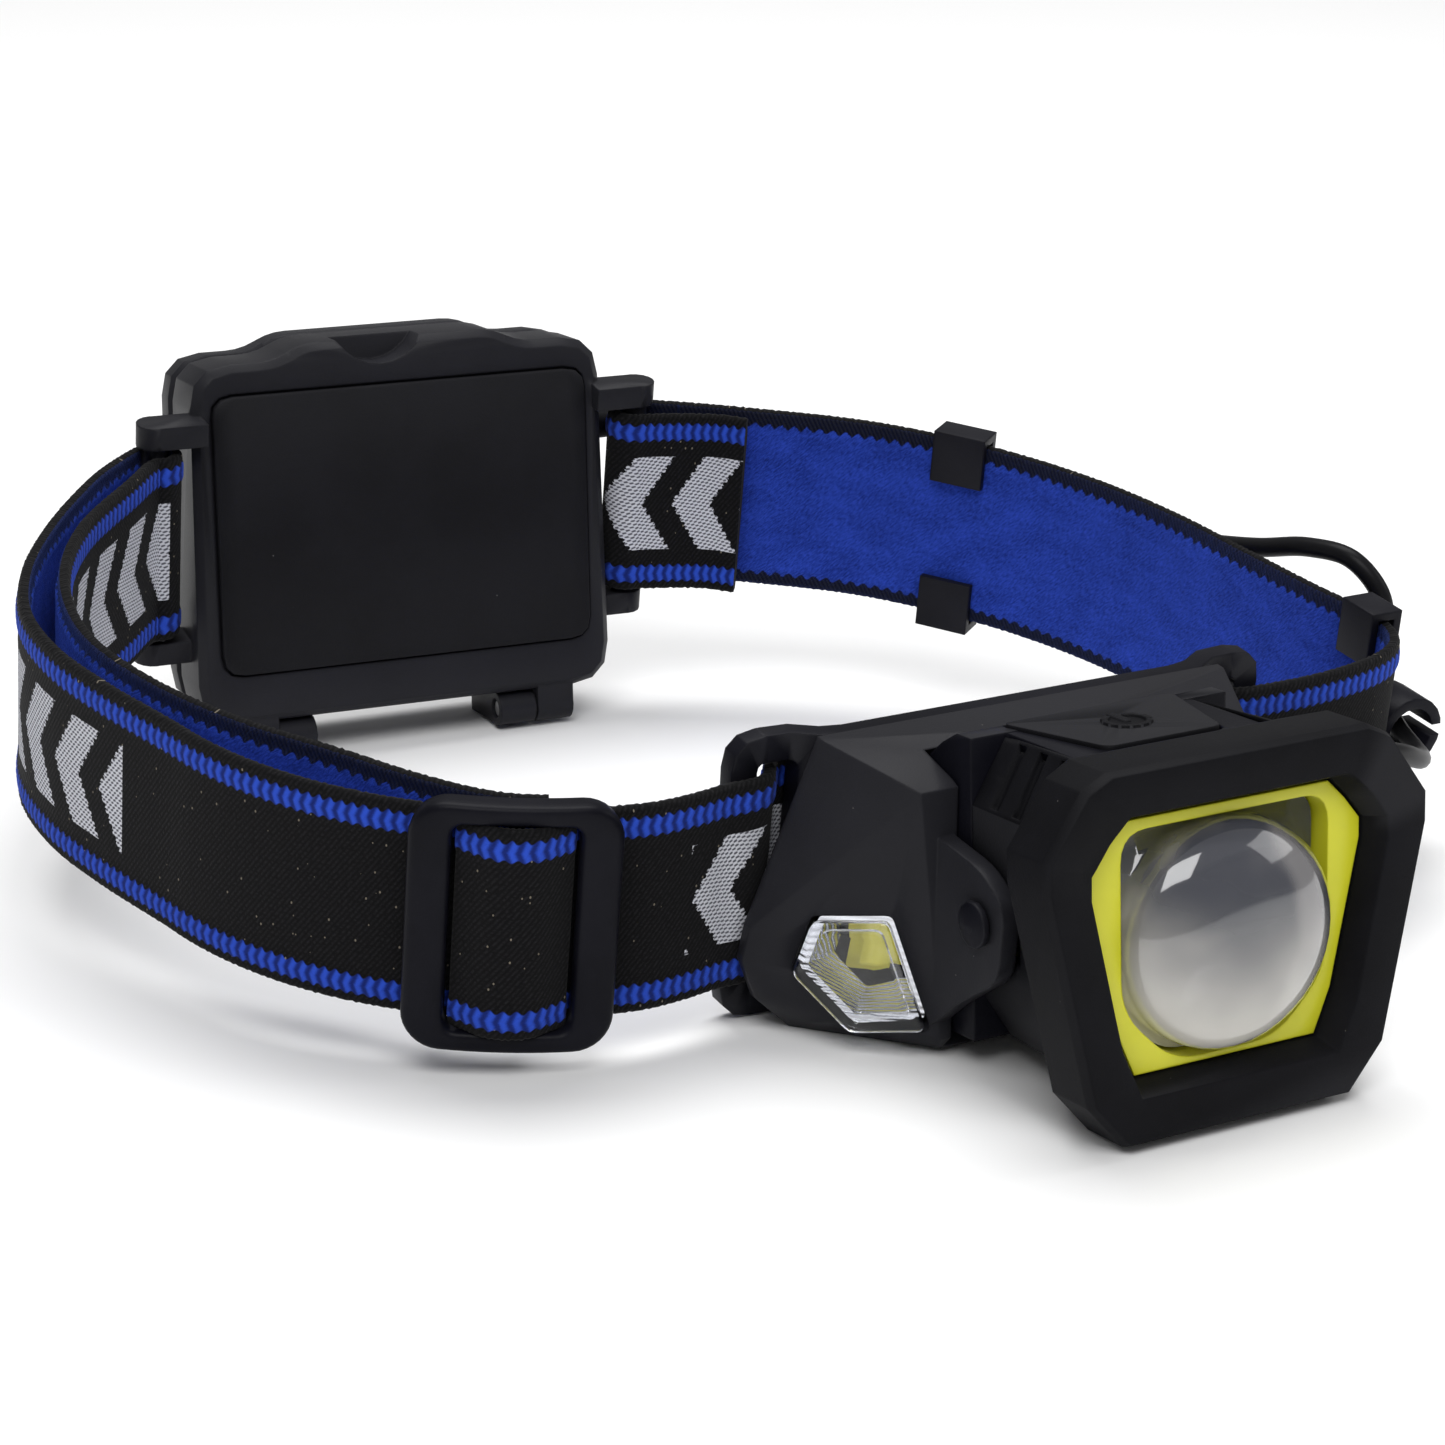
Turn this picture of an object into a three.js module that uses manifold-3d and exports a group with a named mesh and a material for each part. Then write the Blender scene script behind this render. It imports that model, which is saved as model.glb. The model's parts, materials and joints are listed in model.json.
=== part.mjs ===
// Headlamp with a rear battery box: elastic band, tilting and focusing lamp head, two side lights,
// a power cable on two clips, and a battery box with a hinged door. Millimetres, +Z up, lamp facing -Y.
import * as THREE from 'three';
import { mergeVertices } from 'three/addons/utils/BufferGeometryUtils.js';
import { ConvexGeometry } from 'three/addons/geometries/ConvexGeometry.js';
import Module from 'manifold-3d';

const wasm = await Module();
wasm.setup();

// ---------------------------------------------------------------- driving dimensions
const GAP = 0.3; // clearance between pieces that touch
const BAND_WIDTH = 25;
const BAND_THICKNESS = 1.6;
const CABLE_DIAMETER = 2.5;

const STAND_TILT = 6.54; // degrees that the band plane leans so that box and lamp head both reach the table
const ORIGIN_SHIFT = [9.53, -37.97, 17.83]; // puts the origin at the bottom centre of the box round it all

const PLATE = { halfWidth: 35.5, top: 16.8, bottom: -17.8, thickness: 2.4, corner: 4 };
const EAR_SETBACK = 2.6; // how far behind the plate's middle its slotted ears sit
const SLOT = { inner: 27.4, outer: 32.2, halfHeight: 13.6 };

const PIVOT = [0, -25, 4.6]; // tilt axis of the lamp head
const REST_TILT = 11.5; // degrees that the head looks up at rest
const RECESS_RADIUS = 20.9;
const RECESS_HALF_WIDTH = 17.2;
const CHEEK = { inner: 17.5, outer: 19.6 };

const HEAD = { sleeveRear: -5, frameFront: 17, bezelRear: 12.6, bezelFront: 20 };
const LENS = { rear: 10.9, flange: 3.6, rim: 17, rise: 5.6, halfWidth: 13.1, halfHeight: 12.7 };
const BUTTON = { rearHalf: 11.2, frontHalf: 7.4, rear: -8, front: 6.4 };

const SIDE_FACE_START = [34.8, -2.6]; // outer edge of the slanted side face, seen from above
const SIDE_FACE_ANGLE = 45;
const CABLE_BOSS = { x: [31.5, 37.4], y: -6.2, z: 5.4, radius: 2.3 };

const BOX = { halfWidth: 28.8, bottom: -24, shoulder: 23.1, hump: 25.1, baseDepth: 9.6, doorDepth: 5.6 };
const BOX_WALL = 1.4;
const BOX_CORNER = 5.5;
const CAVITY_TOP = 20.4; // the hump above this is solid, so that the thumb notch cuts no hole
const BOX_PLACE = [-24.3, 105, 0];
const BOX_TURN = -5.4;
const BOX_LEAN = -12; // the box leans back at its top, its loop bars stay upright
const LOOP_BAR = { x: 33.2, y: 3.2, radius: 1.6, halfHeight: 16.4, earRadius: 2.4, earInner: 13.4 };
const CELL = { radius: 5.05, length: 43.4, pitch: 12, y: 8.7, lift: -1.1 };
const HINGE = { y: 2.8, z: -26.6, barrel: 2.3, bore: 1.3, pin: 1, from: 12.9, to: 23.3 };

const SLIDER_CENTRE = [-41.6, 44]; // centre of the arc that the band follows under the buckle
const SLIDER_RADIUS = 45;
const SLIDER_ANGLE = 245;
const SLIDER = { halfWidth: 11.5, halfHeight: 14.9, windowHalfWidth: 6.7, windowHalfHeight: 13 };

// ---------------------------------------------------------------- small tools
const rad = THREE.MathUtils.degToRad;

function toSolid(geometry) {
  const bare = geometry.clone();
  bare.deleteAttribute('normal');
  bare.deleteAttribute('uv');
  const merged = mergeVertices(bare, 1e-4);
  const vertProperties = new Float32Array(merged.attributes.position.array);
  const triVerts = new Uint32Array(merged.index.array);
  return new wasm.Manifold(new wasm.Mesh({ numProp: 3, vertProperties, triVerts }));
}

function toGeometry(solid) {
  const mesh = solid.getMesh();
  const geometry = new THREE.BufferGeometry();
  geometry.setAttribute('position', new THREE.BufferAttribute(new Float32Array(mesh.vertProperties), 3));
  geometry.setIndex(new THREE.BufferAttribute(new Uint32Array(mesh.triVerts), 1));
  geometry.computeVertexNormals();
  return geometry;
}

// First geometry, joined with every one in `added`, less every one in `removed`.
function combine(first, added, removed = []) {
  let solid = toSolid(first);
  for (const geometry of added) solid = solid.add(toSolid(geometry));
  for (const geometry of removed) solid = solid.subtract(toSolid(geometry));
  return toGeometry(solid);
}

function keepInside(geometry, limit) {
  return toGeometry(toSolid(geometry).intersect(toSolid(limit)));
}

function block(x0, x1, y0, y1, z0, z1) {
  const geometry = new THREE.BoxGeometry(x1 - x0, y1 - y0, z1 - z0);
  return geometry.translate((x0 + x1) / 2, (y0 + y1) / 2, (z0 + z1) / 2);
}

// A polygon with each corner rounded by up to `radius`.
function roundedShape(points, radius) {
  const shape = new THREE.Shape();
  const corners = points.map(([x, y]) => new THREE.Vector2(x, y));
  corners.forEach((corner, i) => {
    const before = corners[(i + corners.length - 1) % corners.length];
    const after = corners[(i + 1) % corners.length];
    const reach = Math.min(radius, corner.distanceTo(before) / 2.1, corner.distanceTo(after) / 2.1);
    const start = corner.clone().lerp(before, reach / corner.distanceTo(before));
    const end = corner.clone().lerp(after, reach / corner.distanceTo(after));
    if (i === 0) shape.moveTo(start.x, start.y);
    else shape.lineTo(start.x, start.y);
    shape.quadraticCurveTo(corner.x, corner.y, end.x, end.y);
  });
  shape.closePath();
  return shape;
}

function rectangle(halfWidth, bottom, top) {
  return [[-halfWidth, bottom], [halfWidth, bottom], [halfWidth, top], [-halfWidth, top]];
}

// Extrudes an outline drawn in X and Z forwards (towards -Y), from y = back to y = back - depth.
function forward(shape, back, depth, bevel = 0, curveSegments = 3) {
  const geometry = new THREE.ExtrudeGeometry(shape, {
    depth: depth - 2 * bevel,
    bevelEnabled: bevel > 0,
    bevelThickness: bevel,
    bevelSize: bevel,
    bevelOffset: -bevel,
    bevelSegments: 1,
    curveSegments,
  });
  return geometry.translate(0, 0, bevel).rotateX(Math.PI / 2).translate(0, back, 0);
}

// Joins outlines of equal point count, each given as [y, [[x, z], ...]], into one closed skin.
function loft(sections) {
  const count = sections[0][1].length;
  const positions = [];
  const index = [];
  for (const [y, outline] of sections) {
    for (const [x, z] of outline) positions.push(x, y, z);
  }
  for (let s = 0; s + 1 < sections.length; s += 1) {
    for (let i = 0; i < count; i += 1) {
      const a = s * count + i;
      const b = s * count + ((i + 1) % count);
      index.push(a, b, b + count, a, b + count, a + count);
    }
  }
  const face = sections[0][1].map(([x, z]) => new THREE.Vector2(x, z));
  const caps = THREE.ShapeUtils.triangulateShape(face, []);
  const last = (sections.length - 1) * count;
  for (const [a, b, c] of caps) index.push(a, c, b, last + a, last + b, last + c);
  const geometry = new THREE.BufferGeometry();
  geometry.setAttribute('position', new THREE.Float32BufferAttribute(positions, 3));
  geometry.setIndex(index);
  return geometry;
}

function grown(outline, amount) {
  const shape = outline.map(([x, z]) => new THREE.Vector2(x, z));
  return shape.map((point, i) => {
    const before = shape[(i + shape.length - 1) % shape.length];
    const after = shape[(i + 1) % shape.length];
    const inward = point.clone().sub(before).normalize();
    const outward = after.clone().sub(point).normalize();
    const sideA = new THREE.Vector2(inward.y, -inward.x);
    const sideB = new THREE.Vector2(outward.y, -outward.x);
    const mitre = sideA.clone().add(sideB).normalize();
    return point.clone().addScaledVector(mitre, amount / mitre.dot(sideA)).toArray();
  });
}

function cylinderAlongX(radius, x0, x1, sides = 16) {
  return new THREE.CylinderGeometry(radius, radius, x1 - x0, sides).rotateZ(Math.PI / 2)
    .translate((x0 + x1) / 2, 0, 0);
}

function cylinderAlongY(radius, y0, y1, sides = 16) {
  return new THREE.CylinderGeometry(radius, radius, y1 - y0, sides).translate(0, (y0 + y1) / 2, 0);
}

function cylinderAlongZ(radius, z0, z1, sides = 10) {
  return new THREE.CylinderGeometry(radius, radius, z1 - z0, sides).rotateX(Math.PI / 2)
    .translate(0, 0, (z0 + z1) / 2);
}

// A strip of band: its middle line is seen from above, it stands `width` tall about z = 0.
function strip(line, width = BAND_WIDTH, thickness = BAND_THICKNESS) {
  const left = [];
  const right = [];
  line.forEach((point, i) => {
    const ahead = line[Math.min(i + 1, line.length - 1)].clone().sub(line[Math.max(i - 1, 0)]).normalize();
    const side = new THREE.Vector2(-ahead.y, ahead.x).multiplyScalar(thickness / 2);
    left.push(point.clone().add(side));
    right.push(point.clone().sub(side));
  });
  const shape = new THREE.Shape([...right, ...left.reverse()]);
  return new THREE.ExtrudeGeometry(shape, { depth: width, bevelEnabled: false }).translate(0, 0, -width / 2);
}

function smoothLine(points, steps) {
  const curve = new THREE.SplineCurve(points.map(([x, y]) => new THREE.Vector2(x, y)));
  return curve.getSpacedPoints(steps);
}

function arcLine(centre, radius, from, to, steps) {
  return Array.from({ length: steps + 1 }, (_, i) => {
    const angle = rad(from + ((to - from) * i) / steps);
    return new THREE.Vector2(centre[0] + radius * Math.cos(angle), centre[1] + radius * Math.sin(angle));
  });
}

function finish(colour, roughness, metalness = 0, opacity = 1) {
  return new THREE.MeshStandardMaterial({
    color: colour, roughness, metalness, opacity, transparent: opacity < 1,
  });
}

const black = finish(0x17171b, 0.5);
const rubber = finish(0x1a1a1e, 0.75);
const bandBlack = finish(0x101013, 0.95);
const yellow = finish(0xd8dc2a, 0.45);
const clear = finish(0xe6edf0, 0.05, 0, 0.35);
const silver = finish(0xd0d3d6, 0.18, 1);
const steel = finish(0xb4b6b8, 0.3, 1);
const boardGreen = finish(0x2c5a3a, 0.6);
const phosphor = finish(0xe8d94a, 0.5);
const cellWrap = finish(0x3a3f4a, 0.4);
const blackCable = finish(0x0e0e10, 0.55);

const headlamp = new THREE.Group();
headlamp.position.set(...ORIGIN_SHIFT);
headlamp.rotation.x = rad(STAND_TILT);

function addPart(parent, name, geometry, material) {
  const mesh = new THREE.Mesh(geometry, material.clone());
  mesh.name = name;
  parent.add(mesh);
  return mesh;
}

// ---------------------------------------------------------------- bracket and front housing
function bracketPlate() {
  const { halfWidth, top, bottom, thickness, corner } = PLATE;
  const outline = [[-halfWidth + 1, bottom], [halfWidth - 1, bottom], [halfWidth, top], [-halfWidth, top]];
  const limit = forward(roundedShape(outline, corner), 10, 20);
  const half = [[22, 0], [25, 0.6], [28, EAR_SETBACK - 0.2], [31, EAR_SETBACK], [40, EAR_SETBACK + 0.2]];
  const line = [...half.map(([x, y]) => [-x, y]).reverse(), ...half]
    .map(([x, y]) => new THREE.Vector2(x, y));
  const slots = [-1, 1].map((side) => {
    const slotHalf = (SLOT.outer - SLOT.inner) / 2;
    const slot = roundedShape(rectangle(slotHalf, -SLOT.halfHeight, SLOT.halfHeight), 1);
    return forward(slot, 10, 20).translate((side * (SLOT.inner + SLOT.outer)) / 2, 0, 0);
  });
  return combine(keepInside(strip(line, 50, thickness), limit), [], slots);
}

// Half of the flange, from its top corner down to its bottom corner, as [x, z].
const flangeHalf = [[26.8, 17.4], [34.2, -4], [34.8, -8], [32.6, -13.2], [28, -17.6]];
// Half of the housing's front edge, as [x, y, z].
const shellFrontHalf = [[21.9, -15.2, 15.8], [20.4, -16.8, 2], [18.6, -18.8, -13], [17.2, -17, -15.4]];

function mirrored(half) {
  return [...half, ...half.map(([x, ...rest]) => [-x, ...rest])];
}

function shellHull(shrink) {
  const points = [];
  for (const [x, z] of mirrored(flangeHalf)) {
    const scale = 1 - shrink / Math.hypot(x, z);
    points.push(new THREE.Vector3(x * scale, -1.6, z * scale));
    points.push(new THREE.Vector3(x * scale, -2.8, z * scale));
  }
  for (const [x, y, z] of mirrored(shellFrontHalf)) {
    const scale = 1 - (shrink * 1.3) / Math.hypot(x, z);
    points.push(new THREE.Vector3(x * scale, y + shrink * 1.6, z * scale));
  }
  points.push(new THREE.Vector3(0, -9.5, 17.6 - shrink));
  return new ConvexGeometry(points);
}

function pocketFrame(side) {
  const frame = new THREE.Object3D();
  frame.rotation.z = rad(side * SIDE_FACE_ANGLE);
  frame.position.set(side * SIDE_FACE_START[0], SIDE_FACE_START[1], 0);
  frame.updateMatrix();
  return frame.matrix;
}

// Side light outline on its slanted face: x runs from the flange towards the head, as [x, z].
const sideLensOutline = [[12.9, -13.9], [21.4, -12], [16.1, 0.5], [7.6, -1.2], [5.9, -8]];
const sideLightCentre = [13.4, -6.6];

function sideOutline(side, amount) {
  const outline = grown(sideLensOutline, -amount);
  return side > 0 ? outline.map(([x, z]) => [-x, z]).reverse() : outline;
}

function sidePrism(side, amount, back, depth, bevel = 0) {
  const outline = sideOutline(side, amount);
  return forward(roundedShape(outline, 0.8), back, depth, bevel).applyMatrix4(pocketFrame(side));
}

function recess() {
  return cylinderAlongX(RECESS_RADIUS, -RECESS_HALF_WIDTH, RECESS_HALF_WIDTH, 40)
    .translate(0, PIVOT[1], PIVOT[2]);
}

// The plate that carries a pivot pin, as [y, z].
const cheekOutline = [[-12, 10.5], [-24, 10.5], [-29.2, 8.2], [-29.4, -0.2], [-22, -6.9], [-17.5, -12],
  [-12, -13.5]];

function cheek(side) {
  const outline = cheekOutline.map(([y, z]) => [-y, z]);
  const middle = (side * (CHEEK.inner + CHEEK.outer)) / 2;
  const thickness = CHEEK.outer - CHEEK.inner;
  const options = { depth: thickness, bevelEnabled: false, curveSegments: 3 };
  return new THREE.ExtrudeGeometry(roundedShape(outline, 2), options)
    .translate(0, 0, -thickness / 2).rotateX(Math.PI / 2).rotateZ(-Math.PI / 2).translate(middle, 0, 0);
}

function frontHousing() {
  const inside = shellHull(1.7);
  const sides = [-1, 1];
  const added = sides.map(cheek);
  const pockets = sides.map((side) => sidePrism(side, -0.3, 9.5, 14));
  const wells = sides.map((side) => sidePrism(side, -1.8, 10.7, 12));
  const shellEdge = RECESS_HALF_WIDTH + 1.6;
  const recessShell = cylinderAlongX(RECESS_RADIUS + 1.4, -shellEdge, shellEdge, 40)
    .translate(0, PIVOT[1], PIVOT[2]);
  const hollow = toGeometry(toSolid(inside)
    .subtract(toSolid(recessShell))
    .subtract(toSolid(wells[0]))
    .subtract(toSolid(wells[1])));
  const inFront = block(-RECESS_HALF_WIDTH, RECESS_HALF_WIDTH, -60, PIVOT[1] + 4, -40, 40);
  const pinHoles = sides.map((side) => cylinderAlongX(1.9, side * 18.7 - 3, side * 18.7 + 3)
    .translate(0, PIVOT[1], PIVOT[2]));
  const backOpening = block(-15, 15, -4.5, 0, -11, 11);
  const [bossStart, bossEnd] = CABLE_BOSS.x;
  const boss = cylinderAlongX(CABLE_BOSS.radius, bossStart - 9, bossEnd)
    .translate(0, CABLE_BOSS.y, CABLE_BOSS.z);
  const bossBore = cylinderAlongX(CABLE_DIAMETER / 2 + 0.35, bossStart, bossEnd + 5)
    .translate(0, CABLE_BOSS.y, CABLE_BOSS.z);
  const shell = combine(shellHull(0), [...added, boss], [hollow, bossBore]);
  return combine(shell, [], [recess(), inFront, ...pockets, ...pinHoles, backOpening]);
}

function sideLens(side) {
  const rim = sidePrism(side, 0.1, 0.2, 1.6, 0.4);
  const window = sidePrism(side, 1.6, 0.5, 1.6);
  const raised = sidePrism(side, 2.2, 0.8, 2.0, 0.3);
  return combine(rim, [raised, window]);
}

// Corners of the side light outline scaled about its centre, at a depth behind the slanted face.
function scaledCorners(side, scale, depth) {
  const [cx, cz] = sideLightCentre;
  const matrix = pocketFrame(side);
  return sideLensOutline.map(([x, z]) => new THREE.Vector3(
    -side * (cx + (x - cx) * scale),
    depth,
    cz + (z - cz) * scale,
  ).applyMatrix4(matrix));
}

function sideReflector(side) {
  const body = sidePrism(side, 0.4, 4.9, 3.1);
  const cavity = new ConvexGeometry([...scaledCorners(side, 0.8, 1.7), ...scaledCorners(side, 0.5, 5.1)]);
  return combine(body, [], [cavity]);
}

function sideLed(side) {
  const [cx, cz] = sideLightCentre;
  const plate = (halfWidth, halfHeight, corner, back, depth) => forward(
    roundedShape(rectangle(halfWidth, -halfHeight, halfHeight), corner),
    back,
    depth,
  );
  return combine(plate(3, 3, 0.6, 8, 1.2), [plate(1.4, 1.8, 0.3, 7, 1.6)]).translate(-side * cx, 0, cz)
    .applyMatrix4(pocketFrame(side));
}

addPart(headlamp, 'bracket_plate', bracketPlate(), black);
addPart(headlamp, 'front_housing', frontHousing(), black);
for (const [side, hand] of [[-1, 'right'], [1, 'left']]) {
  addPart(headlamp, `side_lens_${hand}`, sideLens(side), clear);
  addPart(headlamp, `side_reflector_${hand}`, sideReflector(side), silver);
  addPart(headlamp, `side_led_${hand}`, sideLed(side), phosphor);
}

// ---------------------------------------------------------------- lamp head, drawn about its pivot
const head = new THREE.Group();
head.position.set(...PIVOT);
head.rotation.x = -rad(REST_TILT);
headlamp.add(head);

// A closed outline from its left half, given as [x, z] from the foot up to the top.
function wholeOutline(half) {
  return [...half, ...half.map(([x, z]) => [-x, z]).reverse()];
}

const sleeveRearOutline = wholeOutline([[12.4, -15.4], [15.6, -10.4], [17, -6], [17, 11.4], [14.9, 14.8],
  [12.6, 18.4]]);
const sleeveMidOutline = wholeOutline([[12.8, -15.8], [16, -10.8], [17.1, -6], [17.1, 11.4], [15.2, 15],
  [13.2, 18.8]]);
const bezelRearOutline = wholeOutline([[14.6, -20.3], [19, -15.2], [24.4, 8.8], [24.4, 12.2], [19.6, 18.9],
  [16.6, 20.4]]);
const bezelFrontOutline = wholeOutline([[14.2, -19.9], [18.6, -14.9], [24, 8.7], [24, 12], [19.3, 18.6],
  [16.3, 20]]);
const apertureOutline = wholeOutline([[11.9, -13.9], [14.1, -8.8], [17.8, 7.3], [17.8, 9.6], [15.7, 12.2],
  [13.4, 14.5]]);
const mouthOutline = wholeOutline([[13.1, -15.5], [15.6, -10], [19.5, 7.5], [19.5, 10.2], [17.2, 13.4],
  [14.4, 16]]);
const cavityOutline = wholeOutline([[11.4, -14.2], [14, -9.2], [15.4, -5.6], [15.4, 10.6], [13.6, 13.7],
  [11.8, 17]]);

// A notch open to the rear that lets the sleeve slide over the core's top panel and its pivot bosses.
function slideNotches(clearance) {
  const panel = block(-12.4 - clearance, 12.4 + clearance, -9, 20, 8, 30);
  const bosses = block(-30, 30, -3.6 - clearance, 20, -3.9 - clearance, 3.9 + clearance);
  return [panel, bosses];
}

function gripGrooves() {
  const grooves = [];
  for (const side of [-1, 1]) {
    for (const a of [-1.2, 3, 7.2]) {
      const groove = new THREE.BoxGeometry(7.4, 1.6, 2.4);
      grooves.push(groove.rotateY(side * rad(62)).translate(side * 15.2, -a, 15.2));
    }
  }
  return grooves;
}

function focusSleeve() {
  const skin = loft([
    [-HEAD.sleeveRear, sleeveRearOutline],
    [-7.6, sleeveMidOutline],
    [-HEAD.bezelRear, bezelRearOutline],
    [-HEAD.bezelFront + 1.2, bezelRearOutline],
    [-HEAD.bezelFront, bezelFrontOutline],
  ]);
  const bore = loft([[6, cavityOutline], [-10.7, cavityOutline]]);
  const aperture = loft([[-9.7, apertureOutline], [-17.2, apertureOutline], [-21, mouthOutline]]);
  return combine(skin, [], [bore, aperture, ...slideNotches(0.3), ...gripGrooves()]);
}

function focusBarrel() {
  const outside = grown(cavityOutline, -GAP);
  const frameOutline = grown(apertureOutline, -GAP);
  const tube = loft([[5.2, outside], [-10.3, outside]]);
  const frame = loft([[-10, frameOutline], [-HEAD.frameFront, frameOutline]]);
  const bore = loft([[7, grown(outside, -1.2)], [-9.4, grown(outside, -1.2)]]);
  const ledge = forward(roundedShape(rectangle(12.2, -11.8, 11.8), 7), -8, 4, 0, 4);
  const window = forward(roundedShape(grown(lensOutline, GAP), 3.4), -LENS.rear + GAP, 10, 0, 5);
  return combine(tube, [frame], [bore, ledge, window, ...slideNotches(GAP)]);
}

const lensOutline = [[-6.6, -12.7], [6.6, -12.7], [13, -6.4], [13.1, 12.7], [-13.1, 12.7], [-13, -6.4]];

function mainLens() {
  const { rear, rim, rise, halfWidth, halfHeight } = LENS;
  const profile = [[0, rear], [halfWidth, rear]];
  const steps = 9;
  for (let i = 0; i <= steps; i += 1) {
    const t = (i / steps) * (Math.PI / 2);
    profile.push([i === steps ? 0 : halfWidth * Math.cos(t) ** 0.85, rim + rise * Math.sin(t)]);
  }
  const dome = new THREE.LatheGeometry(profile.map(([r, h]) => new THREE.Vector2(r, h)), 40)
    .rotateX(Math.PI).scale(1, 1, halfHeight / halfWidth);
  const flange = forward(roundedShape(lensOutline, 3.2), -rear, LENS.flange, 0, 5);
  const limit = forward(roundedShape(grown(lensOutline, 0.02), 3.2), 0, 40, 0, 5);
  return keepInside(combine(dome, [flange]), limit);
}

function headCore() {
  const drum = cylinderAlongX(20.3, -16.8, 16.8, 44);
  const rearLimit = block(-20, 20, 5.5, 30, -15.4, 18.6);
  const rear = keepInside(drum, rearLimit);
  const nose = forward(roundedShape(rectangle(11.5, -10.8, 12), 2.5), 6, 8.5);
  const panel = block(-12.1, 12.1, -8, 8, 11.6, 18.5);
  const boss = cylinderAlongX(3.3, -16.9, 16.9, 20);
  const cavity = forward(roundedShape(rectangle(10, -9.4, 9.6), 0.8), 12, 30);
  const pinBore = cylinderAlongX(1.8, -30, 30);
  return combine(rear, [nose, panel, boss], [cavity, pinBore, buttonPrism(GAP, 14.9, 30)]);
}

function buttonPrism(grow, bottom, top) {
  const { rearHalf, frontHalf, rear, front } = BUTTON;
  const outline = [[-rearHalf - grow, -rear + grow], [rearHalf + grow, -rear + grow],
    [frontHalf + grow, -front - grow], [-frontHalf - grow, -front - grow]];
  const shape = roundedShape(outline.reverse(), 1.2);
  return new THREE.ExtrudeGeometry(shape, { depth: top - bottom, bevelEnabled: false, curveSegments: 3 })
    .translate(0, 0, bottom);
}

// Raised power symbol: an open ring of short blocks and an upright bar.
function powerSymbol(cx, cy, z) {
  const blocks = 12;
  const pieces = [block(cx - 0.4, cx + 0.4, cy - 0.2, cy + 3.2, z - 0.3, z + 0.3)];
  for (let i = 0; i < blocks; i += 1) {
    const angle = rad(130 + (280 * i) / (blocks - 1));
    const piece = new THREE.BoxGeometry(0.7, 1.6, 0.6).rotateZ(angle);
    pieces.push(piece.translate(cx + 2.4 * Math.cos(angle), cy + 2.4 * Math.sin(angle), z));
  }
  return pieces;
}

function powerButton() {
  return combine(buttonPrism(0, 16.4, 18.9), powerSymbol(0, 0.6, 18.9));
}

function ledBoard() {
  return forward(roundedShape(rectangle(9.5, -9, 9), 3), -0.6, 1.6);
}

function mainLed() {
  const base = block(-2.6, 2.6, -3.4, -2.5, -2.6, 2.6);
  const emitter = new THREE.SphereGeometry(1.9, 14, 8).scale(1, 0.6, 1).translate(0, -3.5, 0);
  return combine(base, [emitter]);
}

function heatSink() {
  const plate = block(-9.5, 9.5, -0.3, 1.7, -9, 9);
  const fins = [-8, -4, 0, 4, 8].map((x) => block(x - 0.7, x + 0.7, 1.5, 6, -8, 8));
  return combine(plate, fins);
}

addPart(head, 'head_core', headCore(), black);
addPart(head, 'power_button', powerButton(), rubber);
addPart(head, 'heat_sink', heatSink(), silver);
addPart(head, 'led_board', ledBoard(), boardGreen);
addPart(head, 'main_led', mainLed(), phosphor);
addPart(head, 'driver_board', block(-9, 9, 7.6, 9.2, -8, 8), boardGreen);
addPart(head, 'focus_sleeve', focusSleeve(), rubber);
addPart(head, 'focus_barrel', focusBarrel(), yellow);
addPart(head, 'main_lens', mainLens(), clear);

function pivotPin(side) {
  const shaft = cylinderAlongX(1.5, side > 0 ? 14.2 : -20.2, side > 0 ? 20.2 : -14.2);
  const cap = cylinderAlongX(2.6, side > 0 ? 19.9 : -20.7, side > 0 ? 20.7 : -19.9, 12);
  return combine(shaft, [cap]).translate(0, PIVOT[1], PIVOT[2]);
}

addPart(headlamp, 'pivot_pin_right', pivotPin(-1), black);
addPart(headlamp, 'pivot_pin_left', pivotPin(1), black);

// ---------------------------------------------------------------- battery box, drawn about its front face
const box = new THREE.Group();
box.position.set(...BOX_PLACE);
box.rotation.order = 'ZXY';
box.rotation.z = rad(BOX_TURN);
box.rotation.x = rad(BOX_LEAN);
headlamp.add(box);

const boxHalf = [[BOX.halfWidth, BOX.bottom], [BOX.halfWidth - 0.8, BOX.shoulder], [17, BOX.shoulder],
  [13, BOX.hump]];
const boxOutline = [...boxHalf, ...boxHalf.map(([x, z]) => [-x, z]).reverse()];

function boxPrism(amount, back, depth, bevel = 0) {
  return forward(roundedShape(grown(boxOutline, -amount), BOX_CORNER - amount * 0.8), back, depth, bevel);
}

function loopBar(side) {
  const bar = new THREE.CylinderGeometry(LOOP_BAR.radius, LOOP_BAR.radius, 2 * LOOP_BAR.halfHeight, 10)
    .rotateX(Math.PI / 2).translate(side * LOOP_BAR.x, LOOP_BAR.y, 0);
  const { x, y, earRadius, earInner, halfHeight } = LOOP_BAR;
  const root = BOX.halfWidth - 2;
  const ears = [-1, 1].flatMap((end) => {
    const z0 = end > 0 ? earInner : -halfHeight;
    const z1 = end > 0 ? halfHeight : -earInner;
    const nose = cylinderAlongZ(earRadius, z0, z1, 16).translate(side * x, y, 0);
    const arm = block(Math.min(side * root, side * x), Math.max(side * root, side * x), y - earRadius + 0.05,
      y + earRadius - 0.05, z0, z1);
    return [nose, arm];
  });
  return combine(bar, ears).rotateX(-rad(BOX_LEAN));
}

// A barrel about the hinge line, and the block that ties it to the part it belongs to.
function hingeKnuckle(x0, tie) {
  const x1 = x0 + (HINGE.to - HINGE.from) / 2 - GAP / 2;
  const barrel = cylinderAlongX(HINGE.barrel, x0, x1, 16).translate(0, HINGE.y, HINGE.z);
  return combine(barrel, tie(x0, x1));
}

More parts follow.
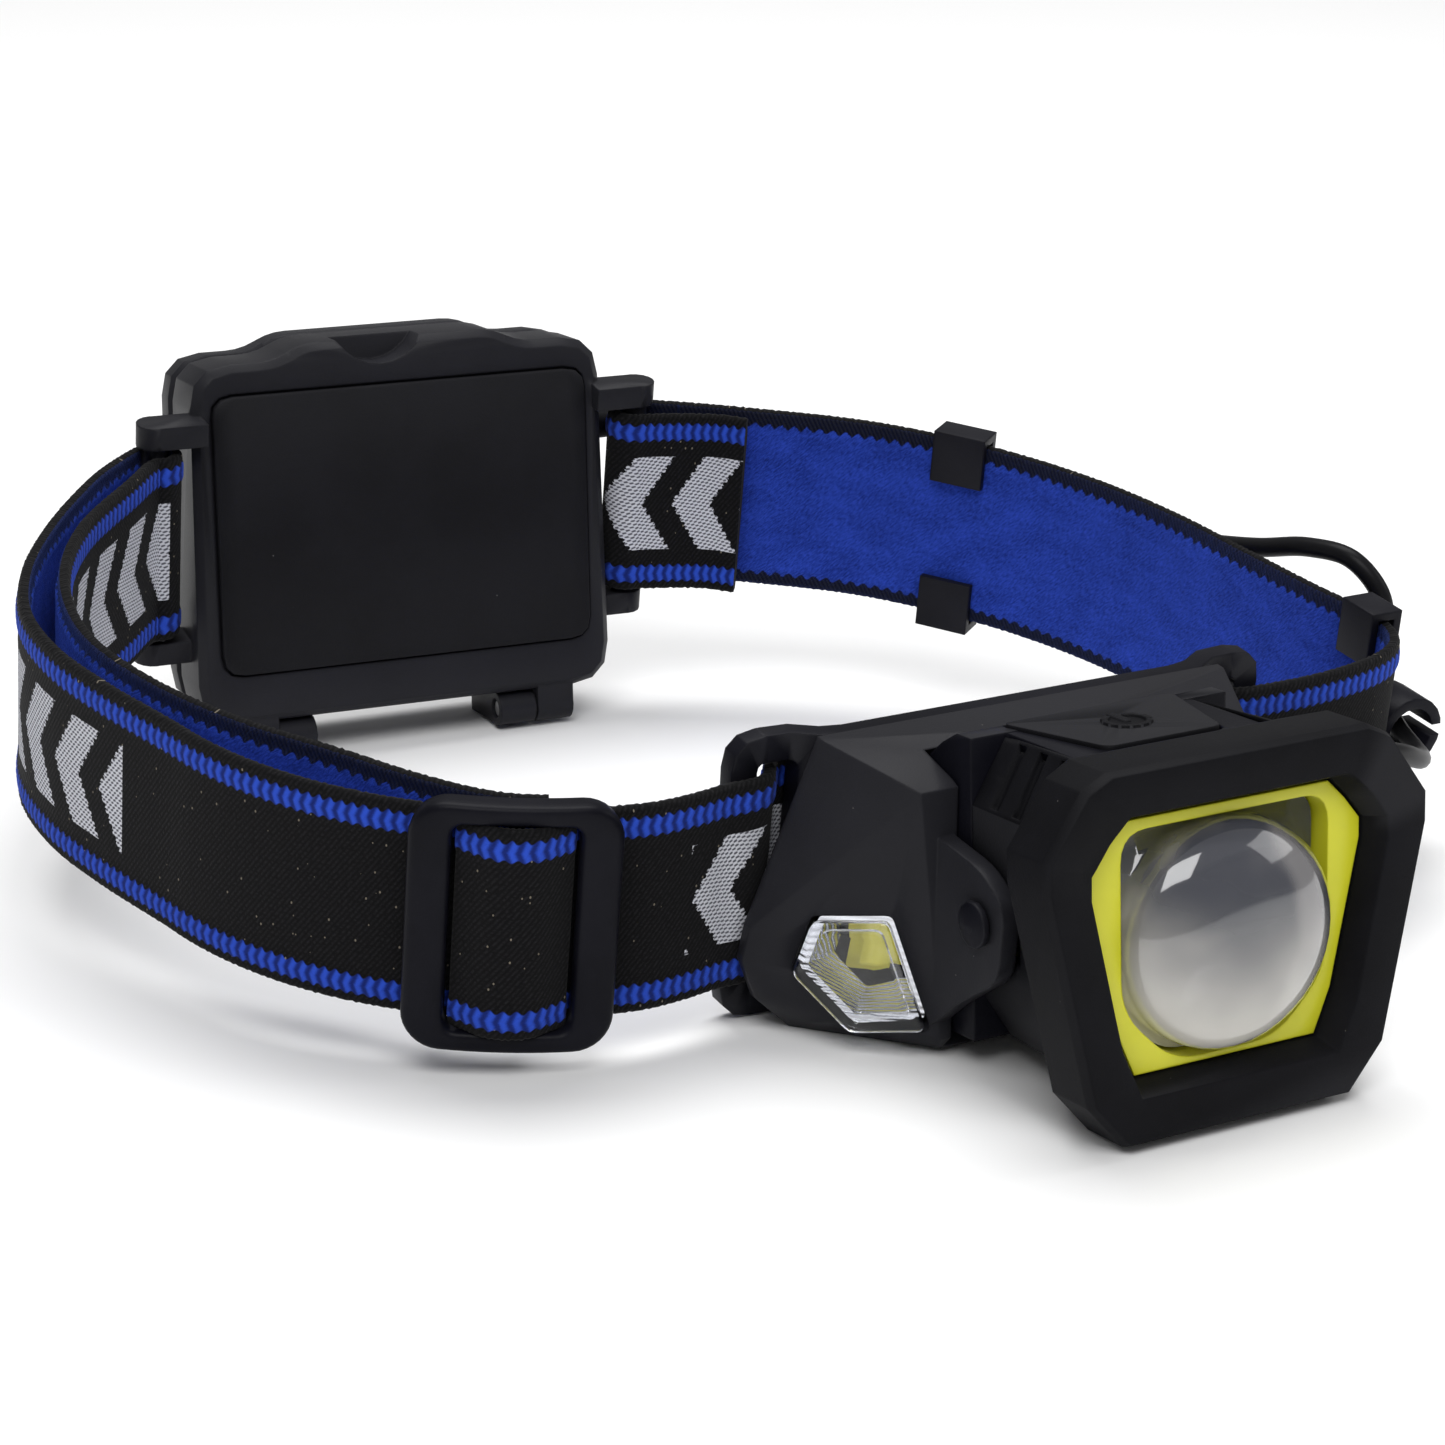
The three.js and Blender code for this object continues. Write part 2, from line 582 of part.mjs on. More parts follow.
const hingeBore = cylinderAlongX(HINGE.bore, -40, 40).translate(0, HINGE.y, HINGE.z);
const knuckleMiddle = (HINGE.from + HINGE.to) / 2 + GAP / 2;

function batteryBase() {
  const { baseDepth, bottom, hump } = BOX;
  const cavity = rectangle(BOX.halfWidth - 0.8 - BOX_WALL, bottom + BOX_WALL, CAVITY_TOP);
  const shell = boxPrism(0, baseDepth, baseDepth, 1);
  const inside = forward(roundedShape(cavity, BOX_CORNER - BOX_WALL), baseDepth + 5, baseDepth + 2.7);
  const padPocket = forward(roundedShape(rectangle(25.9, -17.6, 19.4), 3), 0.8, 2);
  const notch = cylinderAlongY(6.6, -3, 4.2, 24).translate(-2.6, 0, hump + 3.3);
  const tie = (x0, x1) => [block(x0, x1, HINGE.y - 2.2, HINGE.y + 2.2, HINGE.z, bottom + 1.2)];
  const knuckles = [knuckleMiddle, -HINGE.to].map((x0) => hingeKnuckle(x0, tie));
  return combine(shell, [loopBar(-1), loopBar(1), ...knuckles], [inside, padPocket, notch, hingeBore]);
}

function batteryDoor() {
  const { baseDepth, doorDepth, bottom, hump } = BOX;
  const back = baseDepth + GAP + doorDepth;
  const shell = boxPrism(0.2, back, doorDepth, 1.4);
  const inside = boxPrism(BOX_WALL + 0.2, back - BOX_WALL, doorDepth + 3);
  const arm = (x0, x1) => [
    block(x0, x1, HINGE.y, baseDepth + 2.2, HINGE.z - 2, HINGE.z + 2),
    block(x0, x1, baseDepth + 0.7, baseDepth + 2.2, HINGE.z, bottom + 1.4),
  ];
  const starts = [HINGE.from, -knuckleMiddle + GAP / 2];
  const knuckles = starts.map((x0) => hingeKnuckle(x0, arm));
  const latchTop = CAVITY_TOP - 0.5;
  const latch = combine(
    block(-4, 4, baseDepth - 3.2, baseDepth + 3, latchTop - 1.3, latchTop),
    [block(-4, 4, baseDepth + 1.8, baseDepth + 3, latchTop - 1.3, hump - 1)],
  );
  return combine(combine(shell, [], [inside]), [...knuckles, latch], [hingeBore]);
}

function padPanel() {
  return forward(roundedShape(rectangle(25.6, -17.3, 19.1), 2.8), 0.6, 1.4, 0.3);
}

function doorSeal() {
  const outer = boxPrism(BOX_WALL + 0.5, BOX.baseDepth + 1.4, 1.1);
  const inner = boxPrism(BOX_WALL + 1.6, BOX.baseDepth + 3, 5);
  return combine(outer, [], [inner]);
}

function cellTray() {
  const plate = block(-22, 22, 2.5, 3.2, -20.1, 17.9);
  const ribs = [-1.5, -0.5, 0.5, 1.5].map((step) => {
    const z = step * CELL.pitch + CELL.lift;
    return block(-20, 20, 3, 6, z - 0.35, z + 0.35);
  });
  return combine(plate, ribs);
}

function cell(row) {
  const nubEnd = row % 2 === 0 ? 1 : -1;
  const body = cylinderAlongX(CELL.radius, -CELL.length / 2, CELL.length / 2, 20);
  const face = (nubEnd * CELL.length) / 2;
  const nubMiddle = face + nubEnd / 2;
  const nub = cylinderAlongX(1.9, nubMiddle - 0.6, nubMiddle + 0.6, 12);
  return combine(body, [nub]).translate(0, CELL.y, row * CELL.pitch + CELL.lift);
}

function contactSpring(row) {
  const end = row % 2 === 0 ? -1 : 1;
  const turns = 3;
  const points = [];
  for (let i = 0; i <= 30; i += 1) {
    const t = i / 30;
    const angle = t * turns * 2 * Math.PI;
    const radius = 2.1 - 0.5 * t;
    points.push(new THREE.Vector3(end * (24.3 - 2 * t), radius * Math.cos(angle), radius * Math.sin(angle)));
  }
  const wire = roundedShape(rectangle(0.2, -0.2, 0.2), 0.15);
  const path = new THREE.CatmullRomCurve3(points);
  const options = { steps: 44, extrudePath: path, bevelEnabled: false, curveSegments: 1 };
  return new THREE.ExtrudeGeometry(wire, options)
    .translate(0, CELL.y, row * CELL.pitch + CELL.lift);
}

function contactStrip(side) {
  return block(side * 25.2 - 0.25, side * 25.2 + 0.25, 4.2, 9.2, -17.9, 15.7);
}

// Strain relief: a tapered sleeve that leads the cable out of the side of the box.
const BOX_EXIT = [BOX.halfWidth + GAP, 7.4, 10];

function boxStrainRelief() {
  const profile = [[1.6, 0], [2, 0], [2, 2], [1.85, 5], [1.6, 5]]
    .map(([r, h]) => new THREE.Vector2(r, h));
  return new THREE.LatheGeometry([...profile, profile[0]], 16).rotateZ(-Math.PI / 2).translate(...BOX_EXIT);
}

addPart(box, 'battery_base', batteryBase(), black);
addPart(box, 'battery_door', batteryDoor(), black);
addPart(box, 'pad_panel', padPanel(), rubber);
addPart(box, 'door_seal', doorSeal(), rubber);
for (const [side, hand] of [[-1, 'right'], [1, 'left']]) {
  const middle = (side * (HINGE.from + HINGE.to)) / 2;
  const pin = cylinderAlongX(HINGE.pin, middle - 4.9, middle + 4.9, 12).translate(0, HINGE.y, HINGE.z);
  addPart(box, `hinge_pin_${hand}`, pin, steel);
}
addPart(box, 'cell_tray', cellTray(), black);
addPart(box, 'strain_relief_rear', boxStrainRelief(), rubber);
for (const row of [-1, 0, 1]) {
  addPart(box, `cell_${row + 2}`, cell(row), cellWrap);
  addPart(box, `contact_spring_${row + 2}`, contactSpring(row), steel);
}
addPart(box, 'contact_strip_right', contactStrip(-1), steel);
addPart(box, 'contact_strip_left', contactStrip(1), steel);

// ---------------------------------------------------------------- elastic band
// A point beside the box, level with its loop bars.
function boxPoint(x, y) {
  const point = new THREE.Vector2(x, y).rotateAround(new THREE.Vector2(), rad(BOX_TURN));
  return [point.x + BOX_PLACE[0], point.y + BOX_PLACE[1]];
}

const WRAP_RADIUS = LOOP_BAR.radius + GAP + 0.1 + BAND_THICKNESS / 2;
const slotLine = [[36, 0.2], [33.2, 0.3], [31.3, 0.9], [30.3, 2], [29.5, 3.4], [28.3, 4.7], [25.6, 4.6],
  [20, 2.8], [15, 2.5]];

const bandRight = smoothLine([boxPoint(LOOP_BAR.x + 0.6, LOOP_BAR.y + WRAP_RADIUS),
  boxPoint(LOOP_BAR.x + 4.6, LOOP_BAR.y + 1.2), [24.6, 98.9], [37.6, 88.9], [47.7, 75.4], [54, 61.5],
  [57.2, 48], [58.6, 35], [60, 22], [60.9, 16.6], [61.2, 12.6], [60.9, 8.8], [58.8, 5.2], [55, 2.8],
  [50, 1.3], [43, 0.3], [36.4, 0.2]], 54);
const bandFront = [...smoothLine(slotLine, 20),
  ...smoothLine(slotLine.map(([x, y]) => [-x, y]).reverse(), 20)];
const underBuckle = arcLine(SLIDER_CENTRE, SLIDER_RADIUS, 265, 190, 18);
const leadIn = smoothLine([[-36.4, 0.2], [-40.6, -0.5], underBuckle[0].toArray()], 3);
const outerRear = smoothLine([underBuckle[18].toArray(), [-88.9, 48], [-90.6, 59], [-89.8, 70],
  [-85.6, 81], [-79, 91.6], [-71.4, 101.2], [-64.6, 108.4],
  boxPoint(-LOOP_BAR.x - 1.2, LOOP_BAR.y + WRAP_RADIUS - 0.2)], 20);
const bandLeftOuter = [...leadIn.slice(0, -1), ...underBuckle, ...outerRear.slice(1)];

// The band turns round a loop bar of the box on this arc, given as angles in the box's own frame.
function wrapLine(side, from, to) {
  return arcLine([side * LOOP_BAR.x, LOOP_BAR.y], WRAP_RADIUS, from, to, 10)
    .map((point) => new THREE.Vector2(...boxPoint(point.x, point.y)));
}

const leftWrap = wrapLine(-1, 84, -104);
const innerLayer = smoothLine([leftWrap[10].toArray(), [-63.8, 103], [-73.8, 92.6], [-80.4, 82],
  [-84.4, 71], [-85.8, 59.8], [-83.6, 46.5], [-78.6, 34], [-72, 23.4], [-67.4, 15.6], [-62.8, 9.4],
  [-59.4, 6.4], [-56, 4.7]], 36);
const bandLeftInner = [...leftWrap, ...innerLayer.slice(1)];

const rightWrap = wrapLine(1, 92, 282);
const tailEnd = smoothLine([rightWrap[10].toArray(), [18.2, 99.2], [21.5, 96.4]], 6);
const sewnTail = [...rightWrap, ...tailEnd.slice(1)];

addPart(headlamp, 'band_right_side', strip(bandRight), bandBlack);
addPart(headlamp, 'band_behind_bracket', strip(bandFront), bandBlack);
addPart(headlamp, 'band_left_outer', strip(bandLeftOuter), bandBlack);
addPart(headlamp, 'band_left_inner', strip(bandLeftInner), bandBlack);
addPart(headlamp, 'band_sewn_tail', strip(sewnTail), bandBlack);

// ---------------------------------------------------------------- buckle that slides on the band
const buckle = new THREE.Group();
buckle.position.set(SLIDER_CENTRE[0], SLIDER_CENTRE[1], 0);
buckle.rotation.z = rad(SLIDER_ANGLE - 270);
headlamp.add(buckle);

function buckleFrame() {
  const { halfWidth, halfHeight, windowHalfWidth, windowHalfHeight } = SLIDER;
  const innerRadius = SLIDER_RADIUS + BAND_THICKNESS / 2 + GAP;
  const frame = roundedShape(rectangle(halfWidth, -halfHeight, halfHeight), 3.2);
  const window = roundedShape(rectangle(windowHalfWidth, -windowHalfHeight, windowHalfHeight), 0.8);
  const plate = combine(forward(frame, 1.4 - innerRadius, 4.4, 0.5), [], [forward(window, -40, 20)]);
  const bar = cylinderAlongZ(0.9, -14, 14).translate(0, -innerRadius - 1, 0);
  return combine(plate, [bar], [cylinderAlongZ(innerRadius, -20, 20, 160)]);
}

const bulgeBase = -SLIDER_RADIUS - BAND_THICKNESS - GAP - 0.1;
const buckleLoop = smoothLine([[-5.9, bulgeBase + 0.2], [-4.4, bulgeBase - 0.9], [-2.2, bulgeBase - 2.4],
  [0, bulgeBase - 2.8], [2.2, bulgeBase - 2.4], [4.4, bulgeBase - 0.9], [5.9, bulgeBase + 0.2]], 14);

addPart(buckle, 'band_buckle', buckleFrame(), black);
addPart(buckle, 'band_buckle_loop', strip(buckleLoop), bandBlack);

// ---------------------------------------------------------------- cable clips and cable
// A clip is drawn with the band through its origin along Y and the outside of the band towards +X.
const REAR_CHANNEL = { offset: 4.9, z: 0, radius: 2.8, bore: 1.65 }; // offset is from the band's middle
const FRONT_CHANNEL = { offset: 6.6, z: -3.5, radius: 4.8, bore: 3.4 };
const CLIP = { wall: 1.1, clearance: 0.35, hookLength: 7 };

function cableClip(length, channel) {
  const half = length / 2;
  const inner = BAND_THICKNESS / 2 + CLIP.clearance;
  const outer = inner + CLIP.wall;
  const reach = BAND_WIDTH / 2 + CLIP.clearance;
  const tip = reach + CLIP.wall;
  const plate = block(inner, outer, -half, half, -tip, tip);
  const hooks = [-1, 1].flatMap((end) => {
    const span = (from, to) => [Math.min(end * from, end * to), Math.max(end * from, end * to)];
    return [
      block(-outer, outer, -half, half, ...span(reach, tip)),
      block(-outer, -inner, -half, half, ...span(tip - CLIP.hookLength, tip)),
    ];
  });
  const along = (radius, size) => new THREE.CylinderGeometry(radius, radius, size, 20)
    .translate(channel.offset, 0, channel.z);
  const { offset, z } = channel;
  const mouth = block(offset, offset + 8, -half - 1, half + 1, z - 0.7, z + 0.7);
  const barrel = keepInside(along(channel.radius, length), block(inner, 20, -half, half, -20, 20));
  return combine(plate, [...hooks, barrel], [along(channel.bore, length + 2), mouth]);
}

function placeClip(name, at, heading, length, channel) {
  const clip = new THREE.Group();
  clip.position.set(at[0], at[1], 0);
  clip.rotation.z = rad(heading - 90);
  headlamp.add(clip);
  return addPart(clip, name, cableClip(length, channel), black);
}

placeClip('cable_clip_rear', [45.1, 79.4], 126, 7.2, REAR_CHANNEL);
placeClip('cable_clip_front', [61.1, 12.6], 90, 6, FRONT_CHANNEL);

// Route of the cable: along the outside of the band, up in a slack bow, down to the front clip and on.
const cablePoints = [[6.9, 111.3, 8.2], [9.3, 111.1, 8.2], [11.6, 110.8, 8], [15.2, 110, 7.2],
  [20.6, 106.2, 5.6], [28, 100.7, 3.4], [36.8, 94, 1.2], [46.1, 86.3, 0], [52, 78.2, 0.2], [56.4, 70.6, 1.8],
  [60.4, 60, 4.4], [62.4, 48.6, 7.6], [63.2, 38, 11], [64.6, 30, 14], [66.4, 23.6, 14.6], [68.4, 19.8, 11.2],
  [69.4, 18.9, 6], [69.3, 18.2, 1.2], [68.7, 15.6, -2.6], [67.9, 12.2, -3.9], [66.9, 8.4, -4.2],
  [64.6, 3.8, -3.4], [60, -0.8, -0.8], [54, -4, 2.4], [47.4, -5.8, 4.6], [41, -6.2, 5.4], [36, -6.2, 5.4],
  [32, -6.2, 5.4]];

function cable() {
  const path = new THREE.CatmullRomCurve3(cablePoints.map(([x, y, z]) => new THREE.Vector3(x, y, z)));
  const section = new THREE.Shape(Array.from({ length: 8 }, (_, i) => {
    const angle = (i * Math.PI) / 4;
    return new THREE.Vector2((CABLE_DIAMETER / 2) * Math.cos(angle), (CABLE_DIAMETER / 2) * Math.sin(angle));
  }));
  return new THREE.ExtrudeGeometry(section, { steps: 78, extrudePath: path, bevelEnabled: false });
}

addPart(headlamp, 'power_cable', cable(), blackCable);

export default headlamp;
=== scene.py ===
"""Looks of the headlamp: woven elastic strap, moulded and rubber parts, lenses, lights and camera.

Drawings are in millimetres in the strap's own level frame, and LYING carries them to where the lamp lies.
"""
import json
import math

import bmesh
import bpy
from mathutils import Matrix, Vector, noise


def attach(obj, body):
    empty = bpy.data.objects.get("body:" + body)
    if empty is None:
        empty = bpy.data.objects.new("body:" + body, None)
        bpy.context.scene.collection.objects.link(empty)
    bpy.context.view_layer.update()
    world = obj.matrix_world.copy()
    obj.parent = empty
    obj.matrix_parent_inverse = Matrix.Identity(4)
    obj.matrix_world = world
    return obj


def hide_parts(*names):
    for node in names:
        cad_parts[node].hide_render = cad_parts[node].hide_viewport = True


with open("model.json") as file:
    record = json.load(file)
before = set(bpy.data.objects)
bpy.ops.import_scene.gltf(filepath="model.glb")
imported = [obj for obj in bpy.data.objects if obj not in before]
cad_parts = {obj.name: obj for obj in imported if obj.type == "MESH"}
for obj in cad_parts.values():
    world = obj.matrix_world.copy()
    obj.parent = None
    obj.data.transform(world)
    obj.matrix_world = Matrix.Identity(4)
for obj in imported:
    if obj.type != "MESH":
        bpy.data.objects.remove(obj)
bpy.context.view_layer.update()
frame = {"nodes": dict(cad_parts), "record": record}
cad = frame["nodes"]

MM = 0.001
STAND_TILT = math.radians(6.54)
ORIGIN_SHIFT = Vector((9.53, -37.97, 17.83)) * MM
LYING = Matrix.Translation(ORIGIN_SHIFT) @ Matrix.Rotation(STAND_TILT, 4, "X")

BAND_WIDTH = 25.0
BAND_THICKNESS = 1.6
CABLE_DIAMETER = 2.5
BOX_PLACE = Vector((-24.3, 105.0))
BOX_TURN = math.radians(-5.4)
LOOP_BAR = Vector((33.2, 3.2))
WRAP_RADIUS = 2.8
SLIDER_CENTRE = Vector((-41.6, 44.0))
SLIDER_RADIUS = 45.0
SLIDER_ANGLE = 245.0

CAMERA_PLACE = Vector((-241.2, -330.3, 200.1)) * MM
CAMERA_HEADING = Vector((0.524, 0.8517, 0.0))
CAMERA_PITCH = math.radians(24.88)
CAMERA_ROLL = math.radians(4.48)
SENSOR_WIDTH = 36.0
FOCAL_LENGTH = 99.65398
NEAR_CLIP = 0.01

WHITE = (1, 1, 1, 1)
FLOOR_TONE = (0.92, 0.92, 0.92, 1)
FLOOR_REACH = 6.0
SKY_STRENGTH = 0.26
LOOK_AT = (0, 0, 0.02)


def lying(x, y, z):
    """A point drawn in millimetres in the strap's frame, in metres where the lamp lies."""
    return LYING @ (Vector((x, y, z)) * MM)


# ---------------------------------------------------------------- camera
def add_camera():
    """The studio camera, in front of the lamp and to one side, looking a little down."""
    heading = CAMERA_HEADING.normalized()
    ahead = heading * math.cos(CAMERA_PITCH) + Vector((0, 0, -math.sin(CAMERA_PITCH)))
    level_right = Vector((heading.y, -heading.x, 0))
    level_up = level_right.cross(ahead)
    right = level_right * math.cos(CAMERA_ROLL) + level_up * math.sin(CAMERA_ROLL)
    up = level_up * math.cos(CAMERA_ROLL) - level_right * math.sin(CAMERA_ROLL)
    turn = Matrix((right, up, -ahead)).transposed().to_4x4()
    data = bpy.data.cameras.new("camera")
    data.sensor_width = SENSOR_WIDTH
    data.lens = FOCAL_LENGTH
    data.clip_start = NEAR_CLIP
    camera = bpy.data.objects.new("camera", data)
    camera.matrix_world = LYING @ Matrix.Translation(CAMERA_PLACE) @ turn
    bpy.context.collection.objects.link(camera)
    bpy.context.scene.camera = camera


add_camera()


# ---------------------------------------------------------------- node trees
SOCKET_NAMES = {
    "color": "Base Color", "rough": "Roughness", "metal": "Metallic", "normal": "Normal", "ior": "IOR",
    "clear": "Transmission Weight", "specular": "Specular IOR Level",
    "coat": "Coat Weight", "coat_rough": "Coat Roughness",
    "sheen": "Sheen Weight", "sheen_rough": "Sheen Roughness", "sheen_tint": "Sheen Tint",
    "glow": "Emission Color", "glow_strength": "Emission Strength",
}


class Recipe:
    """A material and short ways to add nodes to it."""

    def __init__(self, name):
        self.material = bpy.data.materials.new(name)
        self.material.use_nodes = True
        self.tree = self.material.node_tree
        self.shader = self.tree.nodes["Principled BSDF"]

    def add(self, kind, inputs=None, **settings):
        node = self.tree.nodes.new(kind)
        for key, value in settings.items():
            setattr(node, key, value)
        for key, value in (inputs or {}).items():
            self.feed(node.inputs[key], value)
        return node

    def feed(self, socket, value):
        if isinstance(value, bpy.types.NodeSocket):
            self.tree.links.new(value, socket)
        else:
            socket.default_value = value

    def calc(self, operation, first, second=0.0):
        return self.add("ShaderNodeMath", {0: first, 1: second}, operation=operation).outputs[0]

    def ramp(self, value, low, high):
        """0 below low, 1 above high, smooth between."""
        settings = {"Value": value, "From Min": low, "From Max": high}
        return self.add("ShaderNodeMapRange", settings, interpolation_type="SMOOTHSTEP").outputs[0]

    def mix(self, factor, low, high):
        node = self.add("ShaderNodeMix", data_type="RGBA")
        self.feed(node.inputs["Factor"], factor)
        self.feed(node.inputs[6], low)
        self.feed(node.inputs[7], high)
        return node.outputs[2]

    def place(self):
        return self.add("ShaderNodeTexCoord").outputs["Object"]

    def noise(self, where, scale, detail=3.0, roughness=0.55):
        inputs = {"Vector": where, "Scale": scale, "Detail": detail, "Roughness": roughness}
        return self.add("ShaderNodeTexNoise", inputs).outputs[0]

    def cells(self, where, scale):
        return self.add("ShaderNodeTexVoronoi", {"Vector": where, "Scale": scale}).outputs["Distance"]

    def bump(self, height, distance, strength, normal=None):
        inputs = {"Height": height, "Distance": distance, "Strength": strength}
        if normal is not None:
            inputs["Normal"] = normal
        return self.add("ShaderNodeBump", inputs).outputs[0]

    def rounded(self, radius):
        return self.add("ShaderNodeBevel", {"Radius": radius}, samples=6).outputs[0]

    def set(self, **values):
        """Feeds the shader's sockets by short names and gives back the finished material."""
        for key, value in values.items():
            self.feed(self.shader.inputs[SOCKET_NAMES[key]], value)
        return self.material


BLACK = (0.0026, 0.0026, 0.005, 1)
# Painted edge highlight: the paler colour given to convex edges.
PAINTED_EDGE_HIGHLIGHT = (0.03, 0.03, 0.034, 1)
DUST = (0.22, 0.21, 0.2, 1)
MOULDED_SHINE = 0.09
CLOUD_SCALE = 60
GRAIN_SCALE = 4200
GRAIN_DEPTH = 0.00006
SPECK_SCALE = 420
SPECK_SIZE = 0.028
GLOSS_SPREAD = 0.16


def moulded(name, dark, light, rough, grain, dust, rounding):
    """Black moulded plastic or rubber: fine grain, cloudy gloss, dust specks and slightly paler edges, which
    are a painted highlight.
    """
    r = Recipe(name)
    where = r.place()
    clouds = r.noise(where, CLOUD_SCALE, 4)
    fine = r.noise(where, GRAIN_SCALE, 2, 0.7)
    specks = r.calc("LESS_THAN", r.cells(where, SPECK_SCALE), SPECK_SIZE * dust)
    rare = r.ramp(r.noise(where, 140, 1), 0.56, 0.66)
    edge = r.ramp(r.add("ShaderNodeNewGeometry").outputs["Pointiness"], 0.53, 0.62)
    shade = r.mix(r.ramp(clouds, 0.3, 0.7), dark, light)
    # Convex edges take the painted highlight colour.
    painted_edge_tone = r.mix(r.calc("MULTIPLY", edge, 0.5), shade, PAINTED_EDGE_HIGHLIGHT)
    dust_and_painted_edges = r.mix(r.calc("MULTIPLY", specks, rare), painted_edge_tone, DUST)
    gloss = r.calc("ADD", r.calc("MULTIPLY", clouds, GLOSS_SPREAD), rough - GLOSS_SPREAD / 2)
    normal = r.bump(fine, GRAIN_DEPTH, grain, r.rounded(rounding))
    return r.set(color=dust_and_painted_edges, rough=gloss, normal=normal, specular=MOULDED_SHINE)


def yellow_plastic():
    r = Recipe("yellow_plastic")
    where = r.place()
    tone = r.mix(r.noise(where, 180), (0.60, 0.60, 0.012, 1), (0.72, 0.70, 0.03, 1))
    gloss = r.calc("ADD", r.calc("MULTIPLY", r.noise(where, 900), 0.2), 0.25)
    normal = r.bump(r.noise(where, 2600), 0.00003, 0.3, r.rounded(0.0003))
    return r.set(color=tone, rough=gloss, normal=normal)


PLASTIC_IOR = 1.49
THIN_COVER_IOR = 1.12


def clear_plastic(name, tint, rough):
    r = Recipe(name)
    ripple = r.bump(r.noise(r.place(), 130, 1), 0.00004, 0.25)
    return r.set(color=tint, rough=rough, clear=1.0, ior=PLASTIC_IOR, normal=ripple)


# The lens colour is painted light and shade: a pale warm painted glow low down, a dark bluish painted shade
# above, and paler painted highlight spots within the shade.
LENS_PAINTED_LIGHT_HEIGHT = 0.016
LENS_PAINTED_SHADE_HEIGHT = 0.036
LENS_PAINTED_LIGHT = (0.86, 0.83, 0.76, 1)
LENS_PAINTED_SHADE = (0.10, 0.105, 0.13, 1)
LENS_PAINTED_HIGHLIGHT = (0.34, 0.33, 0.34, 1)


def dome_lens():
    """Thick moulded lens: glassy skin over a hazy body, with painted light low down (pale and warm) and
    painted shade above (dark and bluish).
    """
    r = Recipe("dome_lens")
    where = r.place()
    axes = r.add("ShaderNodeSeparateXYZ", {0: where})
    cloud = r.calc("MULTIPLY", r.noise(where, 55, 2), 0.012)
    height = r.calc("ADD", axes.outputs[2], r.calc("MULTIPLY", axes.outputs[0], 0.25))
    # low marks where the pale painted glow lies; it also thins the haze there.
    low = r.ramp(r.calc("ADD", height, cloud), LENS_PAINTED_SHADE_HEIGHT, LENS_PAINTED_LIGHT_HEIGHT)
    # Patches of painted highlight lighten the painted shade here and there.
    painted_highlight_spots = r.ramp(r.noise(where, 95, 1), 0.52, 0.68)
    painted_shade_tone = r.mix(painted_highlight_spots, LENS_PAINTED_SHADE, LENS_PAINTED_HIGHLIGHT)
    # body is the lens's painted light and shade, not a tint of its own.
    body = r.mix(low, painted_shade_tone, LENS_PAINTED_LIGHT)
    skin = r.bump(r.noise(where, 130, 1), 0.00003, 0.2)
    haze = r.calc("SUBTRACT", 0.5, r.calc("MULTIPLY", low, 0.3))
    return r.set(color=body, rough=0.1, clear=haze, ior=PLASTIC_IOR, normal=skin, coat=1.0, coat_rough=0.02)


def side_window():
    """Thin clear cover of a side light: it reflects like plastic and barely bends what lies behind it."""
    r = Recipe("side_window")
    ripple = r.bump(r.noise(r.place(), 400, 1), 0.00003, 0.3)
    return r.set(color=(0.93, 0.94, 0.97, 1), rough=0.03, clear=1.0, ior=THIN_COVER_IOR, normal=ripple,
                 coat=0.8, coat_rough=0.02)


def bright_metal(name, colour, rough, ribs=0.0, ribbing=0.1):
    """Smudged metal; with ribs, the fine moulded ribs of a reflector."""
    r = Recipe(name)
    where = r.place()
    smudge = r.calc("ADD", r.calc("MULTIPLY", r.noise(where, 300), 0.15), rough)
    height = r.noise(where, 1500)
    if ribs:
        inputs = {"Vector": where, "Scale": ribs, "Distortion": 1.5}
        height = r.add("ShaderNodeTexWave", inputs, bands_direction="DIAGONAL").outputs["Fac"]
    return r.set(color=colour, rough=smudge, metal=1.0, normal=r.bump(height, 0.0001, ribbing))


def plain(name, low, high, rough, scale=300, glow=0.0):
    """Small inner piece: two close tones in a fine mottle; a glow above zero adds a painted glow in the
    lighter tone.
    """
    r = Recipe(name)
    where = r.place()
    tone = r.mix(r.noise(where, scale), low, high)
    normal = r.bump(r.noise(where, scale * 6), 0.00003, 0.3)
    return r.set(color=tone, rough=rough, normal=normal, glow=high, glow_strength=glow)


# ---------------------------------------------------------------- the strap's two faces
STRIPE_PLACE = BAND_WIDTH / 2 - 2.35
STRIPE_HALF = 1.1
STITCH_PITCH = 1.3
STITCH_SLANT = 0.35
PILE_HALF = 10.6
PILE_SCALLOP = 1.75
SCALLOP_DEPTH = 0.28
MOTIF_PERIOD = 132.0
MOTIF_LENGTH = 61.0
MOTIF_START = 60.0
MOTIF_HALF = 6.7
CHEVRON_PITCH = 9.5
CHEVRON_BAR = 5.3
CHEVRON_STEP = 0.55
CHEVRON_SLANT = 0.62
TWILL_PITCH = 0.62
INSIDE_TWILL_PITCH = 0.6
DASH_PITCH = 0.62
DASH_LENGTH = 1.15
TAIL_SHIFT = (30.0, 62.4)
INNER_SHIFT = (411.0, 41.6)

